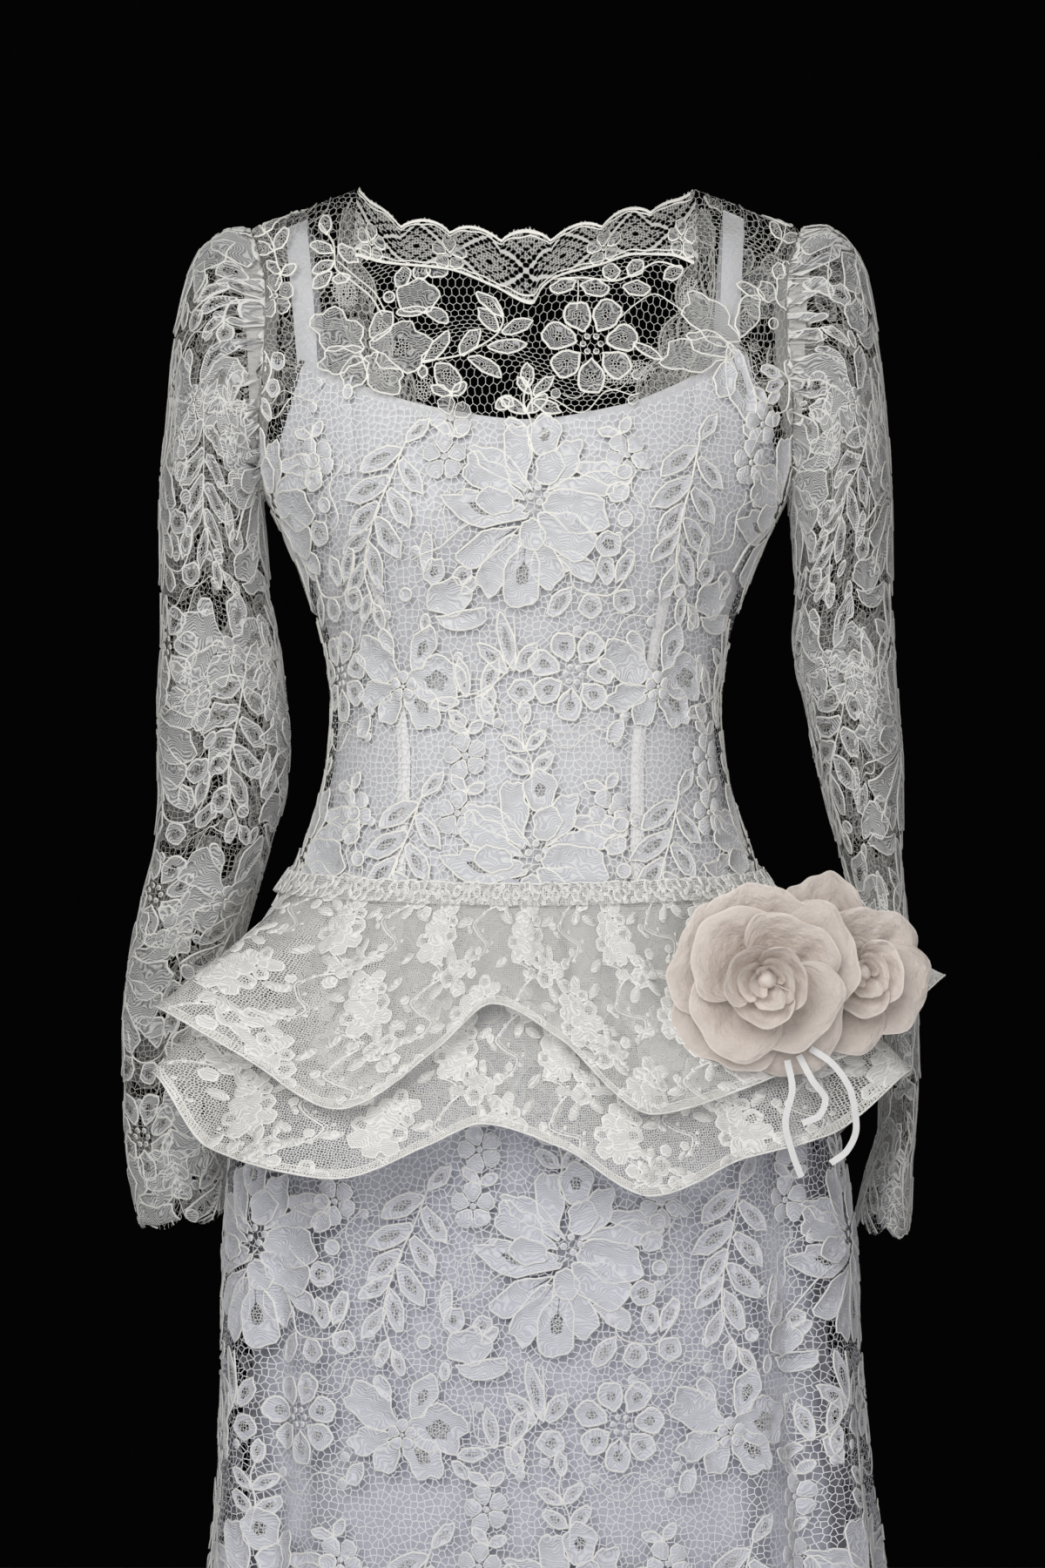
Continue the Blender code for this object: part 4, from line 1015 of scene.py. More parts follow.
def net_shell(name, pale, cell, thread, warp=0.0):
    """Machine net drawn as cells in a sheet: threads round many small openings."""
    made, tree, shader = new_finish(name, 0.85, sheen=0.2)
    place = add(tree, "UVMap", uv_map="pattern")
    shader.inputs["Base Color"].default_value = linear(pale)
    cells = add(
        tree,
        "TexVoronoi",
        {"Vector": place.outputs[0], "Scale": 1 / cell, "Randomness": 0.35 + warp},
        feature="DISTANCE_TO_EDGE",
        voronoi_dimensions="2D",
    )
    open_cell = add(tree, "Math", {0: cells.outputs[0], 1: thread / cell / 2}, operation="LESS_THAN")
    tree.links.new(open_cell.outputs[0], shader.inputs["Alpha"])
    return made


THREAD = cotton_thread("cotton_net_thread", "CFCEC9")
CORD = cotton_thread("rayon_cord", "F8F6EF", 0.6)
CLOTHWORK = clothwork("cotton_clothwork", "DCDCDA", "A6A8AA", 0.56)
# Where the lace lies on the satin, its clothwork is a paler, solid copy: painted light, standing in for the
# light that the satin sends back through it.
LINED_CLOTHWORK = clothwork("lined_clothwork_painted_light", "E9E9EB", "CFD0D6", 0)
# The real fine net's cells are 1 mm across, and are drawn twice as wide so that they show.
FINE_NET = net_shell("cotton_fine_net", "D6D5D1", 2.0, 0.42, 0.4)
# The net on the satin is painted paler than the same net's thread in the yoke: painted light from the satin
# behind it.
LINED_NET = net_shell("lined_net_painted_light", "F3F3F4", 4.2, 0.5, 0.5)
LACE = (THREAD, CORD, CLOTHWORK, FINE_NET, LINED_CLOTHWORK, LINED_NET)
# The back's net is painted darker than the front's: painted shade, as the back lies in shadow.
BACK_NET = net_shell("back_net_painted_shade", "C4C3BE", 4.8, 0.34, 0.2)

FRONT, FRONT_ACROSS = unrolled(False)
BACK, BACK_ACROSS = unrolled(True)
DARTS = table(
    # how much narrower than the repeat the lace is cut
    "z spread",
    (12, 1.0), (-60, 1.04), (-130, 1.0), (-196, 0.95), (-300, 0.8), (-420, 0.84), (-600, 1.0), (-1420, 1.0),
)


def spread_at(z):
    return float(read(DARTS, "spread", z))


def armhole_angle(z, behind):
    away = np.clip((z - ARMHOLE_MIDDLE) / ARMHOLE_HALF_HEIGHT, -1, 1)
    share = ARMHOLE_HALF_DEPTH * np.sqrt(1 - away * away) / read(BODY, "back" if behind else "front", z)
    return np.arccos(np.clip(share, 0, 1) ** (SQUARE / 2))


def in_front(x, z):
    """True where the flat cloth is inside the bodice front's outline."""
    side = FRONT_ACROSS(np.where(z < UNDERARM_Z, QUARTER, armhole_angle(z, False)), z)
    neck = np.where(np.abs(x) < 120, read(FRONT_NECK, "z", x), 12)
    neck = np.where(np.abs(x) < BAND_ENDS_AT - 2, read(BAND_LOW, "z", x) + 2.5, neck)
    return (np.abs(x) < side) & (z < neck) & (z > PEPLUM_SEAM_Z - 9)


def in_back(x, z):
    side = BACK_ACROSS(np.where(z < UNDERARM_Z, QUARTER, armhole_angle(z, True)), z)
    xs, zs = np.array(sorted(BACK_NECK)).T
    neck = np.where(np.abs(x) < 112, np.interp(np.abs(x), xs, zs), 12)
    return (np.abs(x) < side) & (np.abs(x) > 0.2) & (z < neck) & (z > PEPLUM_SEAM_Z - 9)


def over_satin(mesh, top):
    """Whitens the clothwork that lies on the satin, which starts below top: painted light from the satin
    behind it.
    """
    for face in mesh.faces:
        middle = face.calc_center_median()
        if face.material_index == IS_CLOTHWORK and middle.y < top(middle.x):
            face.material_index = IS_LINED_CLOTHWORK


def scoop_at(x):
    return float(read(SCOOP, "z", min(max(x, -140), 140)))


def satin_top(x):
    """The level below which the flat front lies on satin."""
    side = -97 - 79 * np.clip((np.abs(x) - 146) / 40, 0, 1) ** 0.7
    return np.where(np.abs(x) < 146, read(SCOOP, "z", np.clip(x / 1.05, -140, 140)), side)


def front_side(z):
    """How far across the flat front its side lies, at the armhole and below it."""
    return FRONT_ACROSS(np.where(z < UNDERARM_Z, QUARTER - 1e-4, armhole_angle(z, False)), z)


mesh = bmesh.new()
net(mesh, -270, 270, -190, 22, 4.7, 0.34, lambda x, z: in_front(x, z) & (z > satin_top(x) - 5))
lowest = PEPLUM_SEAM_Z - 8
columns = np.linspace(-1, 1, 81)
tops = np.full(81, -120.0)
for _ in range(12):
    # the satin's edge, from the flat cloth's width at the last guess of it
    tops = 0.5 * tops + 0.5 * (satin_top(columns * front_side(tops)) - 3)
for vertex in lay_grid(mesh, -1, 1, 0, 1, 80, 70):
    # On the satin the net is one fine sheet, which narrows at the waist.
    across, share = vertex.co.x, vertex.co.y
    vertex.co.y = lowest + share * (np.interp(across, columns, tops) - lowest)
    vertex.co.x = across * float(front_side(np.array(vertex.co.y)))
    for face in vertex.link_faces:
        face.material_index = IS_LINED_NET
piece = drape("lace_front", mesh, FRONT, LACE, lift=0.2)
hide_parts("lace_front")
mesh = bmesh.new()
lay_repeat(mesh, 6, (9, -196, -412), range(-1, 2), spread_at, below=-124)
drawn = worked(yoke)
spots = spots_of(drawn)
# Drawn as seen from the front, the yoke is laid out flat.
spots[:, 0] = FRONT_ACROSS(angle_at_x(spots[:, 0], spots[:, 1]), spots[:, 1])
drawn.vertices.foreach_set("co", spots.ravel())
mesh.from_mesh(drawn)
for motif, x, y, turn, size in (
    # motifs of the yoke that are the repeat's own: x and y, turn and size
    ("ringed_flower", 40, -94.5, 0, 1.08),
    ("rosebud", 168, -56, 70, 0.9),
    ("trio", 172, -120, 100, 0.8),
    ("flower_small", -160, -60, 0, 1),
    ("trio", -172, -112, 60, 0.8),
    ("sprig", -166, -20, 20, 1),
    ("sprig", 166, -14, -20, 0.8),
):
    stamp(mesh, motif, x, y, turn, size)
trimmed(mesh, in_front)
over_satin(mesh, scoop_at)
work = drape("lace_front_work", mesh, FRONT, LACE, lift=0.3)

NECK_ACROSS = table("z x", *[(z, x) for x, z in BACK_NECK[:-1]], (-168, 0.2), (-440, 0.2))


def back_edge(z):
    return BACK_ACROSS(np.where(z < UNDERARM_Z, QUARTER - 1e-4, armhole_angle(z, True)), z)


mesh = bmesh.new()
for side in (-1, 1):
    for vertex in lay_grid(mesh, 0, 1, PEPLUM_SEAM_Z - 8, SHOULDER_END_Z + 20, 50, 90):
        z = vertex.co.y
        near = float(read(NECK_ACROSS, "x", z))
        far = float(back_edge(np.array(min(z, SHOULDER_END_Z)))) - max(0, z - SHOULDER_END_Z) * 2.6
        vertex.co.x = side * (near + vertex.co.x * max(far - near, 0.5))
for face in mesh.faces:
    if face.normal.z < 0:
        face.normal_flip()
piece = drape("lace_back", mesh, BACK, (BACK_NET, CORD, CLOTHWORK, FINE_NET), lift=1.0, flip=True)
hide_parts("lace_back_left", "lace_back_right")
mesh = bmesh.new()
lay_repeat(mesh, 6, (9, -196, -412), range(-1, 2), spread_at)
trimmed(mesh, in_back)
over_satin(mesh, lambda x: LINING_BACK_TOP_Z)
work = drape("lace_back_work", mesh, BACK, LACE, lift=1.1, flip=True)


# ---------------------------------------------------------------------------------------------
# Neck bands. The lace's own scalloped border, cut out and sewn over the neckline's edge: dense net
# with rows of holes crossing into diamonds, swags of cord below and a corded scalloped edge above.

SCALLOP_WIDTH, SCALLOP_DEPTH = 31.0, 8.0
BAND_DEPTH, BACK_BAND_WIDTH = 30.0, 20.0  # the border as it is made, and where it narrows behind


def scallops(length):
    return SCALLOP_DEPTH * np.abs(np.sin(math.pi * length / SCALLOP_WIDTH)) ** 0.7


def front_band(x, y):
    """The front band as cloth: x across in mm, y up from its lower edge to its scallops."""
    v = y / BAND_DEPTH
    low = read(BAND_LOW, "z", x)
    top = read(FRONT_NECK, "z", x) + scallops(x + SCALLOP_WIDTH / 2)
    z = low + v * (top - low)
    return section(angle_at_x(x, z), z)


xs, zs = np.array(BACK_NECK, float).T
NECK_ROUTE = table("t x z", *zip(np.linspace(0, 1, 9), xs, zs))
turns = np.linspace(0.05, 1, 200)
steps = np.hypot(np.diff(read(NECK_ROUTE, "x", turns)), np.diff(read(NECK_ROUTE, "z", turns)))
LENGTHS = np.concatenate([[0], np.cumsum(steps)])
BACK_BAND_LENGTH = LENGTHS[-1]


def back_band(side):
    """Half of the back band: x along it from the centre back in mm, y up from its lower edge."""
    fitted = BACK_BAND_LENGTH / round(BACK_BAND_LENGTH / SCALLOP_WIDTH) / SCALLOP_WIDTH

    def surface(x, y):
        length = np.clip(BACK_BAND_LENGTH - x, 0, BACK_BAND_LENGTH)
        t = np.interp(length, LENGTHS, turns)
        dx = read(NECK_ROUTE, "x", t + 0.02) - read(NECK_ROUTE, "x", t - 0.02)
        dz = read(NECK_ROUTE, "z", t + 0.02) - read(NECK_ROUTE, "z", t - 0.02)
        size = np.hypot(dx, dz)
        width = BACK_BAND_WIDTH * (0.4 + 0.6 * np.minimum(1, length / 60))
        off = (width - y / BAND_DEPTH * (width + scallops(length / fitted))) / size
        at_x = np.maximum(read(NECK_ROUTE, "x", t) - dz * off, 0.15)
        at_z = np.minimum(read(NECK_ROUTE, "z", t) + dx * off, read(RIDGE, "z", at_x) - 0.4)
        angle = angle_at_x(side * at_x, at_z, True)
        return section(angle, at_z)

    return surface


# The border's diamonds: their width, the slope of their sides and the level where these cross
DIAMOND, SLOPE, CROSSING_Y = 45.0, 1.5, 13.0


def border_work(name, pale):
    """Dense border net: rows of small oval holes cross into diamonds, each with a dark dot."""
    made, tree, shader = new_finish(name, 0.85, sheen=0.2)
    shader.inputs["Base Color"].default_value = linear(pale)
    place = add(tree, "UVMap", uv_map="pattern")
    parts = add(tree, "SeparateXYZ", {0: place.outputs[0]})
    above = add(tree, "Math", {0: parts.outputs[1], 1: CROSSING_Y}, operation="SUBTRACT")
    rows = [
        add(tree, "Math", {0: above.outputs[0], 1: slope, 2: parts.outputs[0]}, operation="MULTIPLY_ADD")
        for slope in (SLOPE, -SLOPE)
    ]
    apart = [add(tree, "Math", {0: row.outputs[0], 1: DIAMOND / 2}, operation="PINGPONG") for row in rows]
    along = [add(tree, "Math", {0: row.outputs[0], 1: 2.8}, operation="PINGPONG") for row in reversed(rows)]
    # each oval opening: two distances, its middle in both and its half sizes in both
    ovals = [(apart[0], apart[1], DIAMOND / 2, DIAMOND / 2, 3.0, 3.0)]
    for off, run in zip(apart, along):
        ovals += [(off, run, 3.9, 2.8, 2.2, 2.3), (off, run, 12.5, 2.8, 1.4, 1.9)]
    threads = add(
        tree,
        "TexVoronoi",
        {"Vector": place.outputs[0], "Scale": 1 / 1.7, "Randomness": 0.6},
        feature="DISTANCE_TO_EDGE",
        voronoi_dimensions="2D",
    )
    solid = add(tree, "MapRange", {0: threads.outputs[0], 1: 0.08, 2: 0.3, 3: 0.8, 4: 0.14})
    for off in apart:
        # plain strips run between the rows of holes
        strip = add(tree, "Math", {0: off.outputs[0], 1: 1.7}, operation="LESS_THAN")
        solid = add(tree, "Math", {0: solid.outputs[0], 1: strip.outputs[0]}, operation="MAXIMUM")
    for first, second, middle, second_middle, wide, long in ovals:
        across = {0: first.outputs[0], 1: 1 / wide, 2: -middle / wide}
        a = add(tree, "Math", across, operation="MULTIPLY_ADD")
        lengthways = {0: second.outputs[0], 1: 1 / long, 2: -second_middle / long}
        b = add(tree, "Math", lengthways, operation="MULTIPLY_ADD")
        a = add(tree, "Math", {0: a.outputs[0], 1: a.outputs[0]}, operation="MULTIPLY")
        squares = {0: b.outputs[0], 1: b.outputs[0], 2: a.outputs[0]}
        far = add(tree, "Math", squares, operation="MULTIPLY_ADD")
        closed = add(tree, "MapRange", {0: far.outputs[0], 1: 0.8, 2: 1.2, 3: 0.0, 4: 1.0})
        solid = add(tree, "Math", {0: solid.outputs[0], 1: closed.outputs[0]}, operation="MULTIPLY")
    tree.links.new(solid.outputs[0], shader.inputs["Alpha"])
    return made


def border(width):
    """The band's cloth, whose finish comes after those of the lace."""
    mesh = bmesh.new()
    lay_grid(mesh, -width / 2, width / 2, 0, BAND_DEPTH, round(width / 2), 14)
    for face in mesh.faces:
        face.material_index = len(LACE)
    return mesh


BORDER_LACE = (*LACE, border_work("cotton_border_net", "D2D1CD"))


def edge_cords(width, flowers):
    """The band's corded edges: a doubled one below, one with tiny loops along the scallops."""
    mesh = bmesh.new()
    stops = np.arange(-width / 2 + 1, width / 2, 4.0)
    for y, wave, thick, high in (
        (0.4, 0.0, 1.6, 1.3),
        (2.9, 0.4, 0.8, 0.8),
        (29.3, 0.0, 1.6, 1.3),
        (27.0, 0.6, 0.7, 0.7),
    ):
        cord(mesh, [(x, y + wave * math.sin(x / 2.4)) for x in stops], thick, high, 2)
    for x in np.arange(-width / 2 + 2, width / 2, 2.6):
        turn = 90 + 20 * math.sin(x * 5)
        blade(mesh, x, 29.5, 1.3 + 0.5 * math.sin(x * 3), 1.2, turn, 0, cord=0.5, sides=5)
    for x, y, size in flowers:
        small_flower(mesh, x, y, size, 5)
    return mesh


front_neck = drape("neck_band_front", border(2 * BAND_ENDS_AT), front_band, BORDER_LACE, lift=2.7)
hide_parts("neck_band_front")
mesh = edge_cords(2 * BAND_ENDS_AT, ((-47, 11, 11), (48, 11, 11), (-95, 8, 9), (96, 9, 9)))
work = drape("neck_band_front_cords", mesh, front_band, LACE, lift=2.8)
for side, word in SIDES:
    made = []
    for mesh in (border(BACK_BAND_LENGTH), edge_cords(BACK_BAND_LENGTH - 1, ())):
        bmesh.ops.translate(mesh, verts=mesh.verts, vec=(BACK_BAND_LENGTH / 2, 0, 0))
        name = f"neck_band_back_{word}" + ("_cords" if made else "")
        made.append(drape(name, mesh, back_band(side), BORDER_LACE, lift=2.2, flip=side < 0))
    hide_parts(f"neck_band_back_{word}")


# ---------------------------------------------------------------------------------------------
# Placket. A lapped strip of the lace, which covers the hooks down the centre back. A cord finishes
# each of its long edges, and small flowers run down its middle.

PLACKET_WIDTH, PLACKET_LENGTH, PLACKET_TURN = 27, 234, math.degrees(7 / 90)
surface = panel(
    upright(180 - PLACKET_TURN),
    upright(180 + PLACKET_TURN),
    lambda angle: peplum_seam_z(angle) + 14,
    level(NECK_BACK_Z - 21.5),
    lambda z: (0, 0),
)
mesh = bmesh.new()
lay_grid(mesh, 0, PLACKET_WIDTH, 0, PLACKET_LENGTH, 8, 60)
for face in mesh.faces:
    face.material_index = IS_FINE_NET
for x in (0.6, PLACKET_WIDTH - 0.6):
    cord(mesh, [(x, z) for z in np.arange(0, 235, 9.0)], 1.0, 0.8, 2)
for z in np.arange(12, 230, 26.0):
    small_flower(mesh, PLACKET_WIDTH / 2, z, 7)
surface = patterned(surface, PLACKET_WIDTH, PLACKET_LENGTH)
placket = drape("back_placket", mesh, surface, LACE, lift=2.4)
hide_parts("back_placket")


# ---------------------------------------------------------------------------------------------
# Lace skirt. The same corded lace, cut in a front and two backs and flared over the underskirt, so
# that its net lies close on the satin and runs free at the sides.

# The skirt's net, cord and clothwork are darker, bluer copies of the bodice's: painted shade.
SKIRT_LACE = (
    net_shell("skirt_net_painted_shade", "E6E6EB", 4.2, 0.52, 0.5),
    cotton_thread("skirt_cord_painted_shade", "E9E8E6", 0.7),
    clothwork("skirt_clothwork_painted_shade", "DEDEE5", "C6C7D1", 0),
    FINE_NET,
)


def in_skirt(across):
    def keep(x, z):
        return (np.abs(x) < across(QUARTER, z)) & (z < PEPLUM_SEAM_Z) & (z > LACE_HEM_Z)

    return keep


def skirt_half(name, nodes, surface, across, first_x, flip):
    mesh = bmesh.new()
    lay_grid(mesh, -1, 1, LACE_HEM_Z, PEPLUM_SEAM_Z, 120, 90)
    for vertex in mesh.verts:
        vertex.co.x *= float(across(QUARTER - 1e-4, vertex.co.y))
    piece = drape(name, mesh, surface, SKIRT_LACE, lift=1.0, flip=flip)
    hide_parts(*nodes)
    mesh = bmesh.new()
    lay_repeat(mesh, first_x, (-434, -649, -864, -1079, -1294), range(-2, 3), spread_at)
    trimmed(mesh, in_skirt(across))
    work = drape(f"{name}_work", mesh, surface, SKIRT_LACE, lift=1.2, flip=flip)


skirt_half("lace_skirt_front", ["lace_skirt_front"], FRONT, FRONT_ACROSS, 18, False)
skirt_half("lace_skirt_back", ["lace_skirt_back_left", "lace_skirt_back_right"], BACK, BACK_ACROSS, 18, True)


# ---------------------------------------------------------------------------------------------
# Sleeves. Long, sheer, each cut in one piece of the lace and closed by a seam at the inner arm,
# set into the armhole with a bound seam. The cuff's edge is a scalloped border.

SLEEVE_RINGS = {
    # two ends of each ring seen from the front, its centre and half depth
    -1: table(
        "row west_x west_z east_x east_z y depth",
        (0, -188, -15, -169, -185, 1, 47), (1, -202, -25, -169, -191, 2, 50),
        (2, -212, -44, -168, -199, 3, 52), (3, -222, -88, -167, -211, 5, 53),
        (4, -226, -132, -166, -226, 7, 53), (5, -230, -176, -165, -243, 9, 52),
        (6, -231, -220, -161, -264, 12, 51), (7, -231, -264, -158, -286, 15, 50),
        (8, -233, -308, -156, -311, 18, 49), (9, -233, -334, -154, -334, 21, 47),
        (10, -233, -366, -156, -366, 26, 45), (11, -236, -400, -165, -400, 33, 43),
        (12, -246, -440, -177, -440, 42, 41), (13, -254, -484, -190, -484, 50, 39),
        (14, -258, -528, -196, -528, 56, 38), (15, -258, -566, -197, -566, 60, 37),
        (16, -256, -600, -195, -600, 62, 37), (17, -251, -628, -193, -624, 63, 37),
        (18, -246, -650, -191, -642, 63, 36),
    ),
    1: table(
        "row west_x west_z east_x east_z y depth",
        (0, 169, -185, 188, -12, 1, 47), (1, 169, -191, 199, -19, 2, 50), (2, 170, -199, 212, -39, 3, 52),
        (3, 172, -221, 220, -77, 5, 53), (4, 173, -238, 226, -132, 7, 53),
        (5, 172, -255, 229, -187, 11, 53), (6, 171, -270, 230, -231, 14, 52),
        (7, 173, -288, 232, -275, 18, 52), (8, 181, -320, 234, -312, 22, 51),
        (9, 187, -350, 237, -345, 27, 50), (10, 194, -376, 238, -374, 32, 49),
        (11, 205, -416, 239, -416, 39, 48), (12, 216, -460, 244, -460, 46, 47),
        (13, 224, -506, 249, -506, 53, 46), (14, 231, -550, 251, -550, 58, 45),
        (15, 230, -585, 249, -585, 61, 44), (16, 222, -614, 247, -614, 62, 43),
        (17, 216, -640, 246, -640, 62, 42), (18, 215, -650, 244, -654, 62, 41),
    ),
}
CUFF_RING, SPANS = 18, 19  # the last ring, and the spans with the one that joins the armhole
SLEEVE_CREASES = ((3, 0.4, 1.6), (5, 1.9, 1.2), (7, 3.1, 0.7))  # count round, turn, depth
CUFF_SCALLOPS = 6


def armhole_ring(side, turn, out):
    """The armhole's edge, moved away from the body, at turns round the sleeve."""
    z = ARMHOLE_MIDDLE + ARMHOLE_HALF_HEIGHT * np.clip(np.sin(turn) * side, -0.9999, 0.9999)
    angle = np.where(np.cos(turn) < 0, math.pi - armhole_angle(z, True), armhole_angle(z, False))
    return section(side * angle, z) + np.array([side * out, 0, 0])


def sleeve(side, u, v):
    """Points of a sleeve, u round it from the front and v up it from the cuff."""
    rows, turn = SLEEVE_RINGS[side], u * 2 * math.pi
    place = CUFF_RING - v * SPANS
    row = np.maximum(place, 0)
    west = np.stack([read(rows, "west_x", row), 0 * row, read(rows, "west_z", row)], axis=-1)
    east = np.stack([read(rows, "east_x", row), 0 * row, read(rows, "east_z", row)], axis=-1)
    creased = sum(depth * np.cos(count * turn + start + row * 0.22) for count, start, depth in SLEEVE_CREASES)
    reach = (1 + creased * np.minimum(1, row / 4) * 0.8 / 45)[..., None]
    at = (west + east) / 2 + (east - west) / 2 * np.sin(turn)[..., None] * reach
    at[..., 1] = read(rows, "y", row) - read(rows, "depth", row) * np.cos(turn) * reach[..., 0]
    joined = np.clip(-place, 0, 1)[..., None]
    at = at * (1 - joined) + armhole_ring(side, turn, 1.9) * joined
    hem = np.maximum(0, 1 - v * SPANS / 1.5)
    at[..., 2] += SCALLOP_DEPTH * (1 - np.abs(np.sin(turn * CUFF_SCALLOPS / 2)) ** 0.7) * hem
    return at


def sleeve_cloth(side):
    """A sleeve as flat cloth: x round it in mm from its outer edge, y up it from the cuff."""
    outer = 0.25 if side > 0 else 0.75
    us, vs = np.linspace(-0.5, 0.5, 49), np.linspace(0, 1, 120)
    spots = sleeve(side, outer + us[:, None] + 0 * vs, vs + 0 * us[:, None])
    runs = np.linalg.norm(np.diff(spots, axis=1), axis=2)
    lengths = np.concatenate([np.zeros((49, 1)), np.cumsum(runs, axis=1)], axis=1)
    rounds = np.linalg.norm(np.diff(spots, axis=0), axis=2).sum(axis=0)
    middle = lengths.mean(axis=0)

    def round_at(y):
        return np.interp(y, middle, rounds)

    def place(x, y):
        """How far round and up the sleeve a place on the flat cloth is; over 1 is past its top."""
        share = np.clip(x / round_at(y), -0.5, 0.5)
        column = (share + 0.5) * 48
        i = np.minimum(column.astype(int), 47)
        up = np.empty(len(x))
        for k in range(48):
            here = i == k
            if here.any():
                t = column[here] - k
                low = np.interp(y[here], lengths[k], vs, right=2)
                high = np.interp(y[here], lengths[k + 1], vs, right=2)
                up[here] = low * (1 - t) + high * t
        return share, up

    def surface(x, y):
        share, up = place(x, y)
        return sleeve(side, outer + share, np.clip(up, 0, 1))

    def inside(x, y):
        return (np.abs(x) < round_at(y) / 2) & (place(x, y)[1] < 0.999) & (y > 0)

    def laid_flat(share, up):
        """Where a place on the sleeve, by its shares round it and up it, lies on the flat cloth."""
        columns = np.array([np.interp(up, vs, row) for row in lengths])
        y = np.array([np.interp(at, us, columns[:, i]) for i, at in enumerate(share)])
        return share * round_at(y), y

    return surface, inside, laid_flat


# The sleeves' net, cord and fine net are darker copies of the bodice's: painted shade.
SLEEVE_LACE = (
    net_shell("sleeve_net_painted_shade", "BDBBB6", 4.0, 0.32, 0.3),
    cotton_thread("sleeve_cord_painted_shade", "E3E2DE", 0.7),
    clothwork("sleeve_clothwork", "E4E4E3", "A4A5A8", 0.36),
    net_shell("sleeve_fine_net_painted_shade", "B2B1AD", 2.0, 0.26, 0.4),
)
BINDING_SATIN = polyester_satin("binding_satin", "C6C5C2", "B6B5B2", 0.5, 0.9)
for side, word in SIDES:
    surface, inside, laid_flat = sleeve_cloth(side)
    mesh = bmesh.new()
    fresh = lay_grid(mesh, -0.4999, 0.4999, 0.0, 0.9999, 64, 130)
    for vertex, x, y in zip(fresh, *laid_flat(*np.array([v.co[:2] for v in fresh]).T)):
        vertex.co.x, vertex.co.y = x, y
    for edge in (-0.4985, 0.4985):
        # the seam under the arm
        seam = laid_flat(np.full(60, edge), np.linspace(0.01, 0.995, 60))
        cord(mesh, list(zip(*seam)), 1.6, 0.5, 2)
    seam = laid_flat(np.linspace(-0.498, 0.498, 60), np.full(60, 0.993))
    cord(mesh, list(zip(*seam)), 2.0, 0.8, 2)
    piece = drape(f"sleeve_{word}", mesh, surface, SLEEVE_LACE, lift=1.0)
    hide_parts(f"sleeve_{word}")
    mesh = bmesh.new()
    lay_repeat(mesh, -1 - 13 * side, (640, 480, 320, 160, 0), range(-2, 3), lambda y: 0.74)
    trimmed(mesh, inside)
    work = drape(f"sleeve_{word}_work", mesh, surface, SLEEVE_LACE, lift=1.1)
    mesh = bmesh.new()
    lay_grid(mesh, 0, 400, 0, 8, 72, 3)
    inner = lambda x, y: sleeve(side, x / 400, 0.967 + y / 8 * 0.03)
    ring = drape(f"armhole_binding_{word}", mesh, inner, [BINDING_SATIN], lift=-1.2)
    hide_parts(f"armhole_binding_{word}")


# ---------------------------------------------------------------------------------------------
# Peplum. Two tiers of a softer ivory lace with no cord: scallop-edged roses in a lattice of scrolls
# on fine net. Both are gathered into the dropped waist under a ruched heading, and each hem is
# bound by a sheer stiffened braid that holds its waves.


def around(columns, *rows):
    """A table that goes all the way round: its first column is an angle in degrees."""
    return table(columns, *[(row[0] + turn, *row[1:]) for turn in (-360, 0, 360) for row in rows])


UPPER_HEM = around(
    "angle reach z",
    (-160, 168, -536), (-135, 172, -516), (-112, 180, -540), (-94, 189, -532), (-80, 208, -512),
    (-68, 244, -500), (-52, 206, -533), (-36, 190, -557), (-21, 156, -524), (-8, 142, -495), (8, 147, -516),
    (26, 172, -560), (40, 175, -553), (52, 187, -541), (63, 224, -526), (76, 266, -482), (88, 214, -505),
    (104, 194, -536), (125, 180, -518), (150, 172, -540), (176, 172, -522),
)
LOWER_HEM = around(
    "angle reach z",
    (-163, 172, -592), (-140, 176, -574), (-118, 180, -606), (-97, 186, -600), (-84, 204, -560),
    (-72, 240, -541), (-60, 224, -582), (-48, 214, -592), (-36, 194, -598), (-22, 164, -580),
    (-10, 152, -566), (8, 158, -580), (25, 176, -608), (44, 182, -590), (60, 212, -576), (74, 246, -540),
    (88, 212, -566), (104, 198, -592), (125, 184, -574), (150, 176, -598), (175, 176, -578),
)
AROUND = 3.0  # mm of peplum cloth for one degree
HALVES = (("front", -89.999 * AROUND, 89.999 * AROUND), ("back", 90.001 * AROUND, 269.999 * AROUND))
UPPER_STANDS, LOWER_STANDS = (3.0, 12.0), (1.0, 5.0)  # off the skirt, at a tier's seam and its hem
FULLNESS = 1.15  # cloth gathered into the seam, for its length
ROSES_APART, ROWS_APART = 76, 52


def skirt_reach(angle, z):
    """Distance from the middle to the outside of the lace skirt, the way an angle points."""
    s, c = np.sin(angle), np.cos(angle)
    wide = read(BODY, "half_width", z) + np.copysign(read(BODY, "centre", z), s)
    deep = np.where(c > 0, read(BODY, "front", z), read(BODY, "back", z))
    round_it = (np.abs(s / wide) ** SQUARE + np.abs(c / deep) ** SQUARE) ** (-1 / SQUARE)
    return round_it + 1 + fold_height(np.arctan2(s * deep, c * wide), z)


def outwards(angle, reach, z):
    x, y = reach * np.sin(angle), -reach * np.cos(angle)
    return np.stack([x, y + np.copysign(0.3, y), z], axis=-1)


